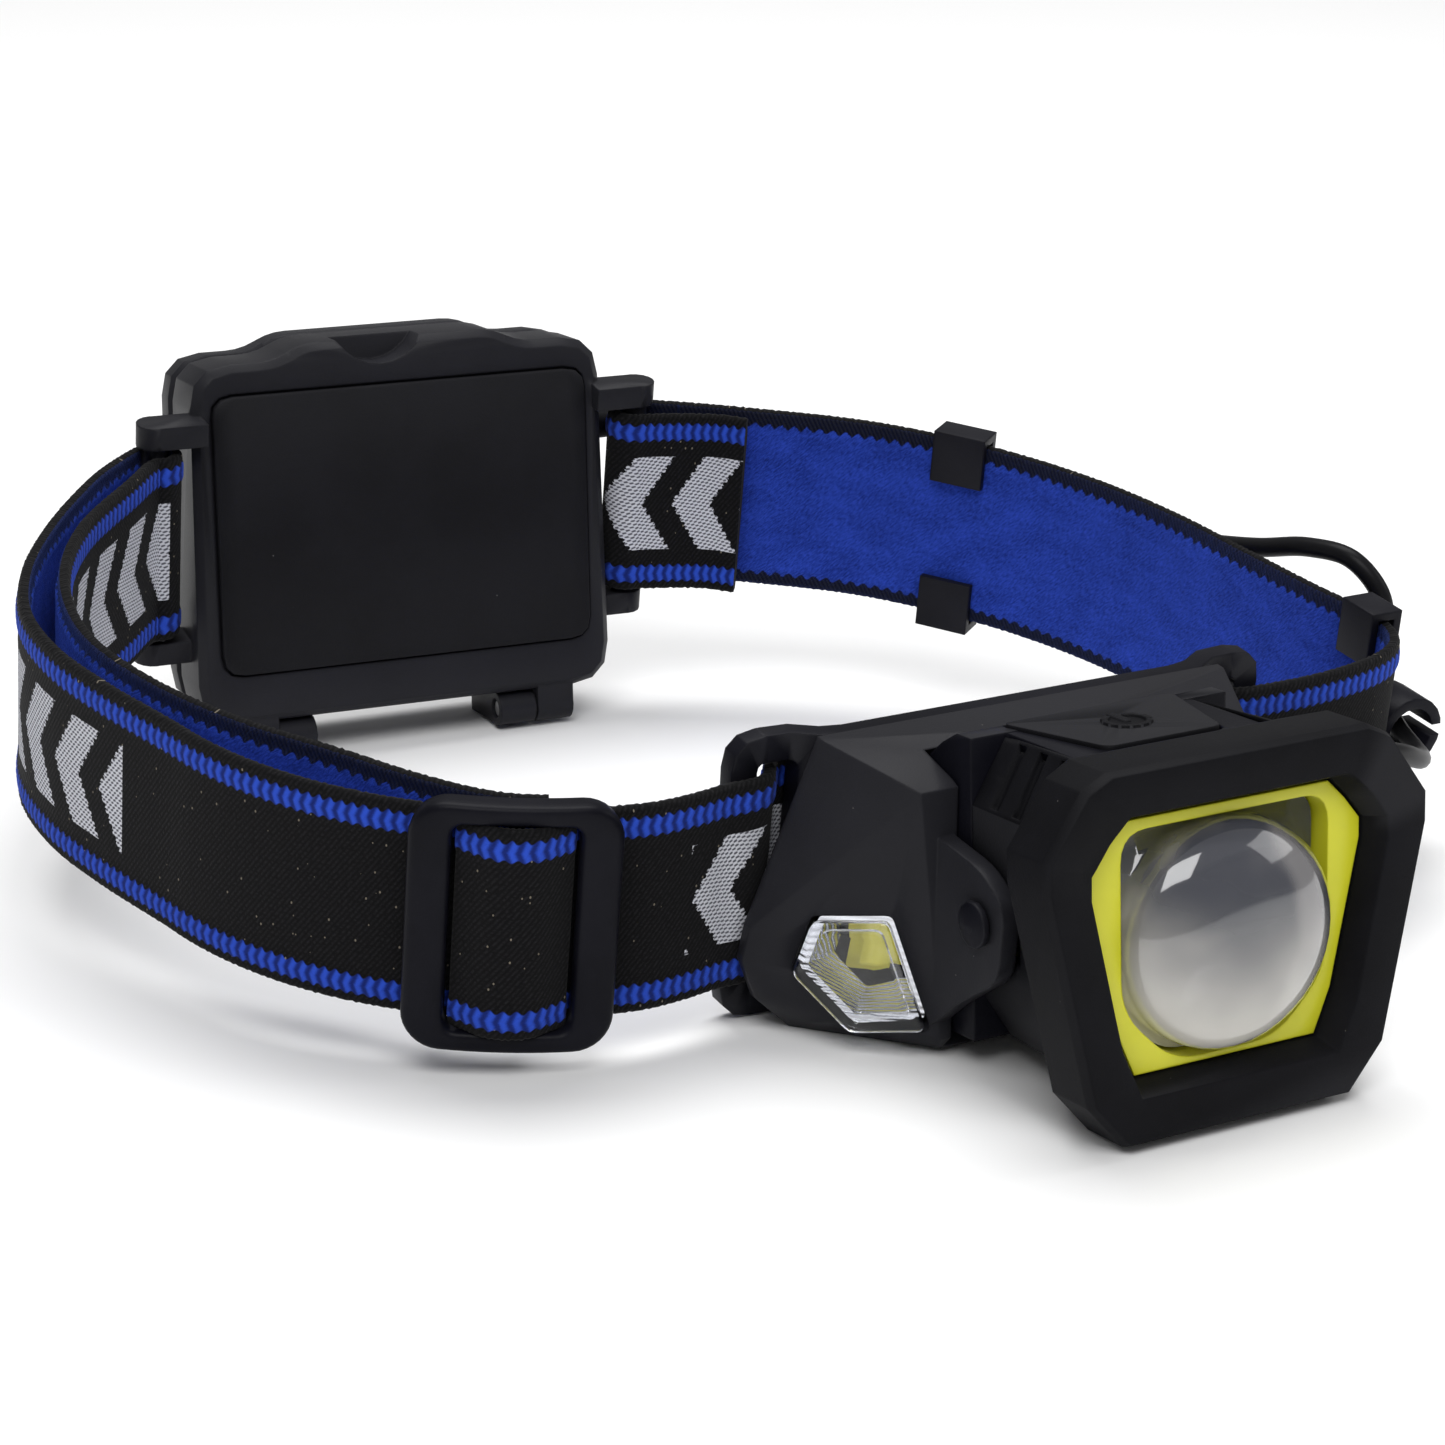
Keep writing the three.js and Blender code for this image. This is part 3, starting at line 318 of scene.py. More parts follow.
TWILL_DARK = (0.0018, 0.0018, 0.0022, 1)
TWILL_LIGHT = (0.011, 0.0105, 0.012, 1)
GLINT = (0.30, 0.26, 0.2, 1)
STRIPE_DARK = (0.005, 0.015, 0.13, 1)
STRIPE_LIGHT = (0.022, 0.070, 0.50, 1)
MOTIF_DARK = (0.10, 0.10, 0.12, 1)
MOTIF_LIGHT = (0.60, 0.61, 0.66, 1)
PILE_DARK = (0.006, 0.020, 0.17, 1)
PILE_LIGHT = (0.028, 0.075, 0.56, 1)
PILE_SHEEN = (0.1, 0.2, 0.9, 1)
BORDER_DARK = (0.002, 0.002, 0.003, 1)
BORDER_LIGHT = (0.011, 0.011, 0.013, 1)


def strap_uv(r):
    """Millimetres along the strap and across it from its middle, from the ribbon's own map."""
    axes = r.add("ShaderNodeSeparateXYZ", {0: r.add("ShaderNodeTexCoord").outputs["UV"]})
    return axes.outputs[0], axes.outputs[1]


def strap_vector(r, along, across, along_scale, across_scale):
    inputs = {0: r.calc("MULTIPLY", along, along_scale), 1: r.calc("MULTIPLY", across, across_scale)}
    return r.add("ShaderNodeCombineXYZ", inputs).outputs[0]


def wave(r, value, pitch):
    return r.calc("SINE", r.calc("MULTIPLY", value, 2 * math.pi / pitch))


def strap_outside():
    """Black twill with two knitted blue stripes and a row of pale woven chevrons."""
    r = Recipe("strap_outside")
    along, across = strap_uv(r)
    off = r.calc("ABSOLUTE", across)
    threads = r.noise(strap_vector(r, along, across, 2.2, 2.8), 1.0, 2, 0.6)
    skew = r.calc("ADD", along, r.calc("MULTIPLY", across, 0.7))
    twill = r.calc("MULTIPLY", r.calc("ADD", wave(r, skew, TWILL_PITCH), 1.0), 0.5)
    weave = r.calc("MULTIPLY", twill, r.ramp(threads, 0.25, 0.75))
    black = r.mix(weave, TWILL_DARK, TWILL_LIGHT)
    glints = r.calc("LESS_THAN", r.cells(strap_vector(r, along, across, 0.85, 0.55), 1.0), 0.085)
    black = r.mix(r.calc("MULTIPLY", glints, 0.55), black, GLINT)

    ragged = r.calc("MULTIPLY", wave(r, along, STITCH_PITCH), 0.2)
    from_stripe = r.calc("ABSOLUTE", r.calc("SUBTRACT", off, STRIPE_PLACE))
    in_stripe = r.ramp(r.calc("SUBTRACT", r.calc("ADD", ragged, STRIPE_HALF), from_stripe), -0.08, 0.12)
    chain = r.calc("ADD", along, r.calc("MULTIPLY", from_stripe, STITCH_SLANT))
    knit = r.calc("ADD", r.calc("MULTIPLY", wave(r, chain, STITCH_PITCH), 0.5), 0.5)
    fibres = r.noise(strap_vector(r, along, across, 6.0, 6.0), 1.0, 2, 0.7)
    lit = r.calc("ADD", r.calc("MULTIPLY", knit, 0.75), r.calc("MULTIPLY", fibres, 0.35))
    blue = r.mix(r.ramp(lit, 0.1, 0.95), STRIPE_DARK, STRIPE_LIGHT)
    colour = r.mix(in_stripe, black, blue)

    row = r.calc("MULTIPLY", r.calc("FLOOR", r.calc("DIVIDE", off, CHEVRON_STEP)), CHEVRON_STEP)
    slant = r.calc("ADD", along, r.calc("MULTIPLY", row, CHEVRON_SLANT))
    jagged = r.calc("ADD", slant, r.calc("MULTIPLY", wave(r, across, 2 * CHEVRON_STEP), 0.16))
    start = r.calc("SUBTRACT", along, MOTIF_START)
    repeat = r.add("ShaderNodeMath", {0: start, 1: MOTIF_PERIOD, 2: 0.0}, operation="WRAP").outputs[0]
    in_zone = r.calc("LESS_THAN", repeat, MOTIF_LENGTH)
    wrapped = r.add("ShaderNodeMath", {0: jagged, 1: CHEVRON_PITCH, 2: 0.0}, operation="WRAP").outputs[0]
    in_bar = r.calc("LESS_THAN", wrapped, CHEVRON_BAR)
    in_height = r.calc("LESS_THAN", off, MOTIF_HALF)
    motif = r.calc("MULTIPLY", r.calc("MULTIPLY", in_zone, in_bar), in_height)
    dash_rows = wave(r, r.calc("ADD", across, r.calc("MULTIPLY", along, 0.35)), DASH_PITCH)
    dash_ends = wave(r, r.calc("SUBTRACT", along, r.calc("MULTIPLY", across, 0.5)), DASH_LENGTH)
    dashes = r.calc("MULTIPLY", dash_rows, dash_ends)
    pale = r.mix(r.ramp(r.calc("ADD", dashes, threads), 0.0, 0.75), MOTIF_DARK, MOTIF_LIGHT)
    colour = r.mix(motif, colour, pale)

    height = r.calc("ADD", r.calc("MULTIPLY", weave, 0.7), r.calc("MULTIPLY", motif, 0.6))
    normal = r.bump(height, 0.00012, 0.7)
    return r.set(color=colour, rough=0.9, normal=normal, specular=0.1, sheen=0.03, sheen_rough=0.6)


def strap_inside():
    """Brushed blue pile with a ragged black border."""
    r = Recipe("strap_inside")
    along, across = strap_uv(r)
    off = r.calc("ABSOLUTE", across)
    brushed = strap_vector(r, r.calc("ADD", along, across), r.calc("SUBTRACT", across, along), 0.9, 3.4)
    hair = r.noise(brushed, 1.0, 4, 0.7)
    patches = r.noise(strap_vector(r, along, across, 0.16, 0.3), 1.0, 3)
    fuzz = r.calc("ADD", r.calc("MULTIPLY", hair, 0.75), r.calc("MULTIPLY", patches, 0.25))
    blue = r.mix(r.ramp(fuzz, 0.32, 0.68), PILE_DARK, PILE_LIGHT)
    twill = wave(r, r.calc("ADD", along, r.calc("MULTIPLY", across, 0.6)), INSIDE_TWILL_PITCH)
    black = r.mix(r.ramp(twill, -1.0, 1.0), BORDER_DARK, BORDER_LIGHT)
    scallop = r.calc("MULTIPLY", wave(r, along, PILE_SCALLOP), SCALLOP_DEPTH)
    border = r.calc("ADD", r.calc("ADD", scallop, r.calc("MULTIPLY", hair, 0.5)), PILE_HALF - 0.25)
    colour = r.mix(r.ramp(r.calc("SUBTRACT", border, off), -0.1, 0.12), black, blue)
    normal = r.bump(hair, 0.00035, 0.9)
    return r.set(color=colour, rough=0.95, normal=normal, specular=0.12,
                 sheen=0.3, sheen_rough=0.5, sheen_tint=PILE_SHEEN)


SATIN_LIGHT = (0.007, 0.007, 0.011, 1)
RUBBER_DARK = (0.003, 0.003, 0.004, 1)
RUBBER_LIGHT = (0.006, 0.006, 0.008, 1)
JACKET_DARK = (0.004, 0.004, 0.005, 1)
JACKET_LIGHT = (0.008, 0.008, 0.009, 1)
finishes = {
    "satin_plastic": moulded("satin_plastic", BLACK, SATIN_LIGHT, 0.40, 0.35, 1.0, 0.0004),
    "soft_rubber": moulded("soft_rubber", RUBBER_DARK, RUBBER_LIGHT, 0.6, 0.5, 1.3, 0.0005),
    "yellow_plastic": yellow_plastic(),
    "clear_lens": clear_plastic("clear_lens", (0.97, 0.98, 1.0, 1), 0.01),
    "dome_lens": dome_lens(),
    "side_window": side_window(),
    "reflector": bright_metal("reflector", (0.86, 0.87, 0.9, 1), 0.12, 900, 0.6),
    # The LEDs are off, and their faint glow is painted light.
    "led_yellow": plain("led_yellow", (0.62, 0.56, 0.05, 1), (0.85, 0.78, 0.12, 1), 0.3, 900, 0.15),
    "circuit_board": plain("circuit_board", (0.45, 0.45, 0.47, 1), (0.7, 0.7, 0.72, 1), 0.45),
    "bare_metal": bright_metal("bare_metal", (0.7, 0.7, 0.72, 1), 0.3),
    "spring_steel": bright_metal("spring_steel", (0.55, 0.55, 0.56, 1), 0.22),
    "cell_wrap": plain("cell_wrap", (0.03, 0.035, 0.05, 1), (0.06, 0.07, 0.1, 1), 0.3),
    "cable_jacket": moulded("cable_jacket", JACKET_DARK, JACKET_LIGHT, 0.36, 0.15, 0.4, 0.0002),
    "strap_outside": strap_outside(),
    "strap_inside": strap_inside(),
}
slot_of = {part["node"]: part["material_slot"] for part in frame["record"]["subparts"]}


# ---------------------------------------------------------------- meshes
WELD_DISTANCE = 0.00002
FLAT_ANGLE = 1.2
SMOOTH_ANGLE = 34
BEVEL_PROFILE = 0.6
SHORTEST_BEVELLED = 2.2


def add_object(name, mesh, body):
    """Puts a mesh or curve in the scene, riding the named body."""
    piece = bpy.data.objects.new(name, mesh)
    bpy.context.collection.objects.link(piece)
    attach(piece, body)
    return piece


def body_with(node):
    return next(name for name, members in frame["record"]["behaviour"]["bodies"].items() if node in members)


def smooth_by_angle(mesh, degrees):
    mesh.shade_smooth()
    mesh.set_sharp_from_angle(angle=math.radians(degrees))


def refine(node, finish, bevel=0.35, crease=32):
    """A copy of a CAD node, which stands for it, with flats merged, edges softened and curves smoothed.

    bevel is in millimetres; crease is the angle in degrees past which an edge counts as sharp.
    """
    mesh = cad[node].data.copy()
    bm = bmesh.new()
    bm.from_mesh(mesh)
    bmesh.ops.remove_doubles(bm, verts=bm.verts, dist=WELD_DISTANCE)
    bmesh.ops.dissolve_limit(bm, angle_limit=math.radians(FLAT_ANGLE), verts=bm.verts, edges=bm.edges)
    sharp = [e for e in bm.edges if len(e.link_faces) == 2 and e.calc_face_angle(0) > math.radians(crease)
             and e.calc_length() > SHORTEST_BEVELLED * bevel * MM]
    if bevel:
        bmesh.ops.bevel(bm, geom=sharp, offset=bevel * MM, segments=2, profile=BEVEL_PROFILE,
                        affect="EDGES", clamp_overlap=True)
    bmesh.ops.triangulate(bm, faces=[f for f in bm.faces if len(f.verts) > 4])
    bm.to_mesh(mesh)
    bm.free()
    mesh.materials.clear()
    mesh.materials.append(finishes[finish])
    smooth_by_angle(mesh, SMOOTH_ANGLE)
    piece = add_object(f"{node}_surface", mesh, body_with(node))
    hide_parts(node)


# ---------------------------------------------------------------- cable
CABLE_POINTS = [
    (6.9, 111.3, 8.2), (9.3, 111.1, 8.2), (11.6, 110.8, 8), (15.2, 110, 7.2), (20.6, 106.2, 5.6),
    (28, 100.7, 3.4), (36.8, 94, 1.2), (46.1, 86.3, 0), (52, 78.2, 0.2), (56.4, 70.6, 1.8), (60.4, 60, 4.4),
    (62.4, 48.6, 7.6), (63.2, 38, 11), (64.6, 30, 14), (66.4, 23.6, 14.6), (68.4, 19.8, 11.2),
    (69.4, 18.9, 6),
    (69.3, 18.2, 1.2), (68.7, 15.6, -2.6), (67.9, 12.2, -3.9), (66.9, 8.4, -4.2), (64.6, 3.8, -3.4),
    (60, -0.8, -0.8), (54, -4, 2.4), (47.4, -5.8, 4.6), (41, -6.2, 5.4), (36, -6.2, 5.4), (32, -6.2, 5.4),
]


def through(points, per_span=8):
    """Centripetal Catmull-Rom curve through the points."""
    ring = [Vector(p) for p in points]
    ring = [2 * ring[0] - ring[1], *ring, 2 * ring[-1] - ring[-2]]
    out = []
    for p0, p1, p2, p3 in zip(ring, ring[1:], ring[2:], ring[3:]):
        t1 = math.sqrt((p1 - p0).length)
        t2 = t1 + math.sqrt((p2 - p1).length)
        t3 = t2 + math.sqrt((p3 - p2).length)
        for i in range(per_span):
            t = t1 + (t2 - t1) * i / per_span
            a1 = p0.lerp(p1, t / t1)
            a2 = p1.lerp(p2, (t - t1) / (t2 - t1))
            a3 = p2.lerp(p3, (t - t2) / (t3 - t2))
            b1 = a1.lerp(a2, t / t2)
            b2 = a2.lerp(a3, (t - t1) / (t3 - t1))
            out.append(b1.lerp(b2, (t - t1) / (t2 - t1)))
    return [*out, ring[-2]]


def line_length(points):
    return sum((b - a).length for a, b in zip(points, points[1:]))


def add_cable():
    path = [lying(*p) for p in through(CABLE_POINTS)]
    curve = bpy.data.curves.new("cable", "CURVE")
    curve.dimensions = "3D"
    curve.bevel_depth = CABLE_DIAMETER / 2 * MM
    curve.bevel_resolution = 4
    curve.use_fill_caps = True
    spline = curve.splines.new("POLY")
    spline.points.add(len(path) - 1)
    for point, place in zip(spline.points, path):
        point.co = (*place, 1)
    spline.use_smooth = True
    curve.materials.append(finishes["cable_jacket"])
    cable = add_object("cable", curve, "headband")
    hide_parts("power_cable")


add_cable()


# ---------------------------------------------------------------- strap
def box_point(x, y):
    """A point drawn level with the battery box, turned and moved to where the box sits."""
    turned = Matrix.Rotation(BOX_TURN, 2) @ Vector((x, y))
    return turned + BOX_PLACE


def arc(centre, radius, start, end, steps):
    """Points along an arc, with its start and end in degrees."""
    angles = [math.radians(start + (end - start) * i / steps) for i in range(steps + 1)]
    return [Vector((centre[0] + radius * math.cos(a), centre[1] + radius * math.sin(a))) for a in angles]


def wrap_round_bar(side, start, end):
    """The strap's turn round one of the box's loop bars: side is 1 on the cable's side, -1 on the other."""
    return [box_point(*p) for p in arc((side * LOOP_BAR.x, LOOP_BAR.y), WRAP_RADIUS, start, end, 8)]


def even(points, spacing):
    """A smooth curve through the points, cut into steps of even length."""
    fine = through([(p[0], p[1], 0) for p in points], 10)
    total = line_length(fine)
    count = round(total / spacing)
    out = [fine[0]]
    target = total / count
    walked = 0.0
    for a, b in zip(fine, fine[1:]):
        step = (b - a).length
        while walked + step >= target * len(out) - 1e-9 and len(out) < count:
            out.append(a.lerp(b, (target * len(out) - walked) / step))
        walked += step
    return [*out, fine[-1]]


def strap_route():
    """The strap's middle line from above, from its sewn tail right round to its free end inside."""
    tail = [Vector((21.5, 96.4)), Vector((18.2, 99.2))]
    right = [(24.6, 98.9), (37.6, 88.9), (47.7, 75.4), (54, 61.5), (57.2, 48), (58.6, 35), (60, 22),
             (60.9, 16.6), (61.2, 12.6), (60.9, 8.8), (58.8, 5.2), (55, 2.8), (50, 1.3), (43, 0.3),
             (36, 0.2)]
    slot_half = [(33.2, 0.3), (31.3, 0.9), (30.3, 2), (29.5, 3.4), (28.3, 4.7), (25.6, 4.6), (20, 2.8),
                 (15, 2.5)]
    front = [*slot_half, *[(-x, y) for x, y in reversed(slot_half)], (-36.4, 0.2), (-40.6, -0.5)]
    under_buckle = arc(SLIDER_CENTRE, SLIDER_RADIUS, 265, 190, 14)
    outer = [(-88.9, 48), (-90.6, 59), (-89.8, 70), (-85.6, 81), (-79, 91.6), (-71.4, 101.2), (-64.6, 108.4)]
    inner = [(-63.8, 103), (-73.8, 92.6), (-80.4, 82), (-84.4, 71), (-85.8, 59.8), (-83.6, 46.5),
             (-78.6, 34), (-72, 23.4), (-67.4, 15.6), (-62.8, 9.4), (-59.4, 6.4), (-56, 4.7)]
    off_the_bar = box_point(LOOP_BAR.x + 4.6, LOOP_BAR.y + 1.2)
    return [*tail, *wrap_round_bar(1, 282, 92), off_the_bar, *right, *front, *under_buckle, *outer,
            *wrap_round_bar(-1, 84, -104), *inner]


OUTSIDE_ROWS = [12.5, 12.1, 11.75, 11.4, 11.1, 10.8, 10.5, 10.2, 9.9, 9.6, 9.3, 9.0, 8.6, 7.8, 6.6,
                5.2, 3.8, 2.3, 0.8]
INSIDE_ROWS = [12.3, 11.9, 11.5, 11.1, 10.7, 10.3, 9.9, 9.4, 8.7, 7.7, 6.5, 5.2, 3.8, 2.3, 0.8]

STRIPE_RISE = 0.34
EDGE_CORD_PITCH = 1.3
EDGE_CORD_START = 11.6
PILE_RISE = 0.32
RUFFLE_PITCH = 1.35
EDGE_START = 11.9
EDGE_WIDTH = 0.6
FACE_INSET = 0.12
STRAP_STEP = 0.4
BUCKLE_LOOP_STEP = 0.35


def outside_relief(along, across):
    """Height in millimetres of the outside face: knitted stripes, corded edges and an uneven weave."""
    off = abs(across)
    lift = 0.0
    stripe = 1 - ((off - STRIPE_PLACE) / (STRIPE_HALF + 0.2)) ** 2
    if stripe > 0:
        stitch = math.sin(2 * math.pi * (along + STITCH_SLANT * abs(off - STRIPE_PLACE)) / STITCH_PITCH)
        lift += STRIPE_RISE * math.sqrt(stripe) * (0.74 + 0.26 * stitch)
    if off > EDGE_CORD_START:
        lift += 0.12 * math.sin(2 * math.pi * along / EDGE_CORD_PITCH)
    return lift + 0.05 * noise.noise(Vector((along * 0.8, across * 0.8, 3)))


def inside_relief(along, across):
    """Height in millimetres of the inside face: raised pile with a scalloped border."""
    off = abs(across)
    border = PILE_HALF + SCALLOP_DEPTH * math.sin(2 * math.pi * along / PILE_SCALLOP)
    pile = PILE_RISE if off < border else 0.0
    rough = noise.noise(Vector((along * 1.1, across * 1.1, 9))) * 0.10
    return pile + rough + 0.10 * noise.noise(Vector((along * 0.3, across * 0.3, 5)))


def ribbon(name, line, along_start=0.0, upright=LYING, shift=lambda along: 0.0):
    """A woven strap: its middle line is seen from above, and its outside is to the line's left.

    along_start and shift only slide the woven pattern along the strap.
    """
    bm = bmesh.new()
    uv = bm.loops.layers.uv.new("UVMap")
    outside = [*OUTSIDE_ROWS, *[-v for v in reversed(OUTSIDE_ROWS)]]
    inside = [*[-v for v in INSIDE_ROWS], *reversed(INSIDE_ROWS)]
    rings = []
    along = along_start
    marks = []
    for i, here in enumerate(line):
        ahead = (line[min(i + 1, len(line) - 1)] - line[max(i - 1, 0)]).normalized()
        side = Vector((-ahead.y, ahead.x, 0))
        if i:
            along += (here - line[i - 1]).length
        ring = []
        ruffle = 0.16 * math.sin(2 * math.pi * along / RUFFLE_PITCH)
        ruffle += 0.1 * noise.noise(Vector((along * 0.25, 1, 0)))
        for rows, relief, face in ((outside, outside_relief, 0.5), (inside, inside_relief, -0.5)):
            for v in rows:
                edge = max(0.0, (abs(v) - EDGE_START) / EDGE_WIDTH)
                flat = BAND_THICKNESS * face * (1 - 0.45 * edge * edge)
                raised = math.copysign(relief(along, v) * (1 - edge) * 0.9, face)
                push = flat + raised - math.copysign(FACE_INSET, face)
                height = v + math.copysign(ruffle * min(1.0, abs(v) / 12.0) ** 8, v)
                spot = Vector((here.x, here.y, 0)) + side * push + Vector((0, 0, height))
                ring.append(bm.verts.new(upright @ (spot * MM)))
        rings.append(ring)
        marks.append(along + shift(along))
    rows = [*outside, *inside]
    split = len(outside)
    for i in range(len(rings) - 1):
        for j in range(len(rows)):
            k = (j + 1) % len(rows)
            face = bm.faces.new((rings[i][j], rings[i][k], rings[i + 1][k], rings[i + 1][j]))
            face.material_index = 1 if split <= j < len(rows) - 1 else 0
            face.smooth = True
            corners = ((marks[i], rows[j]), (marks[i], rows[k]),
                       (marks[i + 1], rows[k]), (marks[i + 1], rows[j]))
            for loop, corner in zip(face.loops, corners):
                loop[uv].uv = corner
    for ring, flip in ((rings[0], False), (rings[-1], True)):
        cap = bm.faces.new(ring[::-1] if flip else ring)
        for loop in cap.loops:
            loop[uv].uv = (0.0, 12.0)
    bmesh.ops.recalc_face_normals(bm, faces=bm.faces)
    mesh = bpy.data.meshes.new(name)
    bm.to_mesh(mesh)
    bm.free()
    mesh.materials.append(finishes["strap_outside"])
    mesh.materials.append(finishes["strap_inside"])
    return mesh


def motif_shift(along):
    """Brings a group of chevrons onto the sewn tail and onto the layer that comes back inside."""
    if along < TAIL_SHIFT[0]:
        return TAIL_SHIFT[1]
    return INNER_SHIFT[1] if along > INNER_SHIFT[0] else 0.0


strap_mesh = ribbon("elastic_strap", even(strap_route(), STRAP_STEP), shift=motif_shift)
strap = add_object("elastic_strap", strap_mesh, "headband")
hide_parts("band_right_side", "band_behind_bracket", "band_left_outer", "band_left_inner",
            "band_sewn_tail")

BUCKLE_FRAME = LYING @ Matrix.Translation((SLIDER_CENTRE.x * MM, SLIDER_CENTRE.y * MM, 0)) @ Matrix.Rotation(
    math.radians(SLIDER_ANGLE - 270), 4, "Z")
BULGE_BASE = -SLIDER_RADIUS - BAND_THICKNESS - 0.4
BUCKLE_LOOP_MARK = 45.0


def add_buckle_loop():
    """The short piece of strap that bulges through the buckle's window and over its bar."""
    half = [(0, -2.8), (2.2, -2.4), (4.4, -0.9), (5.9, 0.2)]
    points = [*[(x, BULGE_BASE + y) for x, y in reversed(half)],
              *[(-x, BULGE_BASE + y) for x, y in half[1:]]]
    loop_line = even(points, BUCKLE_LOOP_STEP)
    loop_mesh = ribbon("strap_over_bar", loop_line, BUCKLE_LOOP_MARK, upright=BUCKLE_FRAME)
    loop = add_object("strap_over_bar", loop_mesh, "buckle")
    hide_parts("band_buckle_loop")


add_buckle_loop()


def rounded_rectangle(half_width, half_height, corner, per_corner=8, per_side=10):
    """Points round a rounded rectangle, always the same number, starting at its right side."""
    out = []
    middles = [(half_width - corner, half_height - corner), (corner - half_width, half_height - corner),
               (corner - half_width, corner - half_height), (half_width - corner, corner - half_height)]
    for quarter, (cx, cz) in enumerate(middles):
        for i in range(per_corner + 1):
            angle = math.pi / 2 * (quarter + i / per_corner)
            out.append(Vector((cx + corner * math.cos(angle), cz + corner * math.sin(angle))))
        nx, nz = middles[(quarter + 1) % 4]
        turn = math.pi / 2 * (quarter + 1)
        end = Vector((nx + corner * math.cos(turn), nz + corner * math.sin(turn)))
        last = out[-1]
        out.extend(last.lerp(end, i / per_side) for i in range(1, per_side))
    return out


def swell(value, power):
    """Bends a sine or cosine towards a squarer wave."""
    return math.copysign(abs(value) ** power, value)


BUCKLE_OUTER = (11.4, 14.8, 4.2)
BUCKLE_WINDOW = (6.8, 12.4, 1.6)
BUCKLE_DEPTH = 3.4
BUCKLE_BACK = SLIDER_RADIUS + BAND_THICKNESS / 2 + 0.35
BUCKLE_SIDES = 20
BUCKLE_BAR_RADIUS = 0.9
BUCKLE_BAR_HALF = 13.2
BUCKLE_BAR_SIDES = 16


def add_buckle():
    """A soft-edged frame bent to the band's curve, with the bar that the band is folded over."""
    bm = bmesh.new()
    outer = rounded_rectangle(*BUCKLE_OUTER)
    window = rounded_rectangle(*BUCKLE_WINDOW)
    rings = []
    for a, b in zip(outer, window):
        ring = []
        for k in range(BUCKLE_SIDES):
            turn = 2 * math.pi * k / BUCKLE_SIDES
            across = 0.5 - 0.5 * swell(math.cos(turn), 0.55)
            spot = a.lerp(b, across)
            depth = BUCKLE_DEPTH / 2 * (1 + swell(math.sin(turn), 0.5))
            around = spot.x / (BUCKLE_BACK + BUCKLE_DEPTH / 2)
            radius = BUCKLE_BACK + depth
            bent = Vector((radius * math.sin(around), -radius * math.cos(around), spot.y))
            ring.append(bm.verts.new(BUCKLE_FRAME @ (bent * MM)))
        rings.append(ring)
    for i, ring in enumerate(rings):
        following = rings[(i + 1) % len(rings)]
        for k in range(BUCKLE_SIDES):
            m = (k + 1) % BUCKLE_SIDES
            bm.faces.new((ring[k], ring[m], following[m], following[k]))
    bar_axis = -BUCKLE_BACK - 1.0
    ends = []
    for z in (-BUCKLE_BAR_HALF, BUCKLE_BAR_HALF):
        ring = []
        for k in range(BUCKLE_BAR_SIDES):
            turn = 2 * math.pi * k / BUCKLE_BAR_SIDES
            x = BUCKLE_BAR_RADIUS * math.cos(turn)
            y = bar_axis + BUCKLE_BAR_RADIUS * math.sin(turn)
            ring.append(bm.verts.new(BUCKLE_FRAME @ (Vector((x, y, z)) * MM)))
        ends.append(ring)
    for k in range(BUCKLE_BAR_SIDES):
        m = (k + 1) % BUCKLE_BAR_SIDES
        bm.faces.new((ends[0][k], ends[0][m], ends[1][m], ends[1][k]))
    bm.faces.new(ends[0][::-1])
    bm.faces.new(ends[1])
    bmesh.ops.recalc_face_normals(bm, faces=bm.faces)
    mesh = bpy.data.meshes.new("buckle_frame")
    bm.to_mesh(mesh)
    bm.free()
    mesh.materials.append(finishes["satin_plastic"])
    smooth_by_angle(mesh, 50)
    buckle = add_object("buckle_frame", mesh, "buckle")
    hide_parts("band_buckle")


add_buckle()

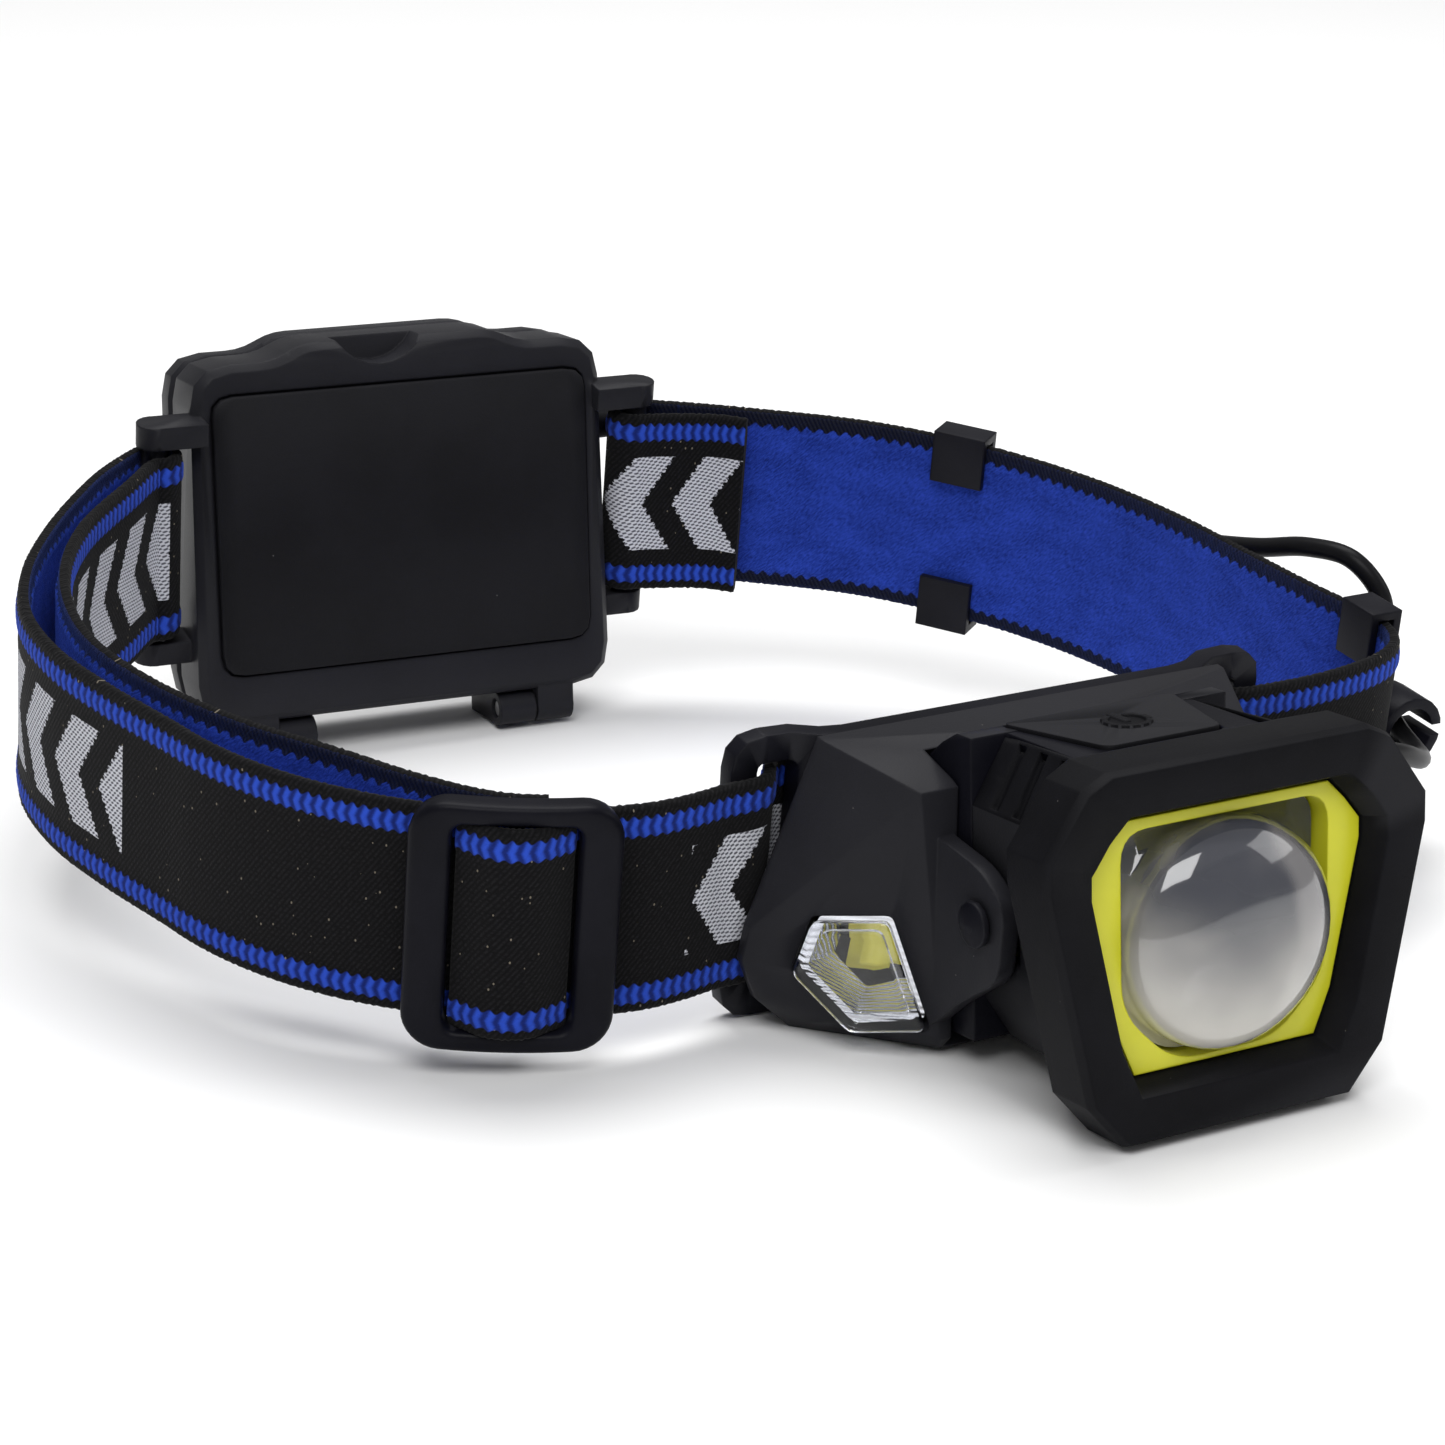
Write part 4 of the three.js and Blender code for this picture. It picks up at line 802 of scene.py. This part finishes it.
# ---------------------------------------------------------------- hard parts
refine("bracket_plate", "satin_plastic", 0.4)
refine("front_housing", "satin_plastic")
refine("focus_sleeve", "soft_rubber", 0.6, 18)
refine("head_core", "satin_plastic", 0.3)
refine("power_button", "soft_rubber", 0.25)
refine("focus_barrel", "yellow_plastic", 0.15)
refine("battery_base", "satin_plastic", 0.45, 26)
refine("battery_door", "satin_plastic", 0.6, 26)
refine("pad_panel", "soft_rubber", 0.0)
refine("cable_clip_rear", "satin_plastic")
refine("cable_clip_front", "satin_plastic")
refine("strain_relief_rear", "soft_rubber", 0.2)
for hand in ("right", "left"):
    refine(f"side_lens_{hand}", "side_window", 0.0)
    refine(f"side_reflector_{hand}", "reflector", 0.0)
    refine(f"side_led_{hand}", "led_yellow", 0.0)
    refine(f"pivot_pin_{hand}", "satin_plastic", 0.2)
refine("main_lens", "dome_lens", 0.0)

# The CAD's own faces take a matching finish, for the pieces that no drawn surface stands for.
for node, cad_object in cad.items():
    cad_object.data.materials.clear()
    cad_object.data.materials.append(finishes.get(slot_of[node], finishes["strap_outside"]))


# ---------------------------------------------------------------- stage and light
def add_floor():
    mesh = bpy.data.meshes.new("floor")
    reach = FLOOR_REACH
    corners = [(-reach, -reach, 0), (reach, -reach, 0), (reach, reach, 0), (-reach, reach, 0)]
    mesh.from_pydata(corners, [], [(0, 1, 2, 3)])
    r = Recipe("floor")
    mesh.materials.append(r.set(color=FLOOR_TONE, rough=0.9, specular=0.1))
    floor = bpy.data.objects.new("floor", mesh)
    bpy.context.collection.objects.link(floor)


def add_softbox(name, place, aim, width, power):
    """A soft square lamp; place, aim and width are in metres and power is in watts."""
    data = bpy.data.lights.new(name, "AREA")
    data.shape = "RECTANGLE"
    data.size = width
    data.size_y = width * 0.7
    data.energy = power
    lamp = bpy.data.objects.new(name, data)
    lamp.location = place
    lamp.rotation_euler = (Vector(aim) - Vector(place)).to_track_quat("-Z", "Y").to_euler()
    bpy.context.collection.objects.link(lamp)


add_floor()
add_softbox("key", (-0.45, -0.75, 1.1), LOOK_AT, 0.9, 11)
add_softbox("top", (0.15, 0.35, 1.3), (0, 0, 0), 1.1, 14)
add_softbox("fill", (1.0, -0.5, 0.6), LOOK_AT, 0.7, 2)
world = bpy.data.worlds.new("studio")
world.use_nodes = True
sky = world.node_tree.nodes["Background"]
sky.inputs["Color"].default_value = WHITE
sky.inputs["Strength"].default_value = SKY_STRENGTH
bpy.context.scene.world = world
bpy.context.scene.view_settings.view_transform = "Standard"
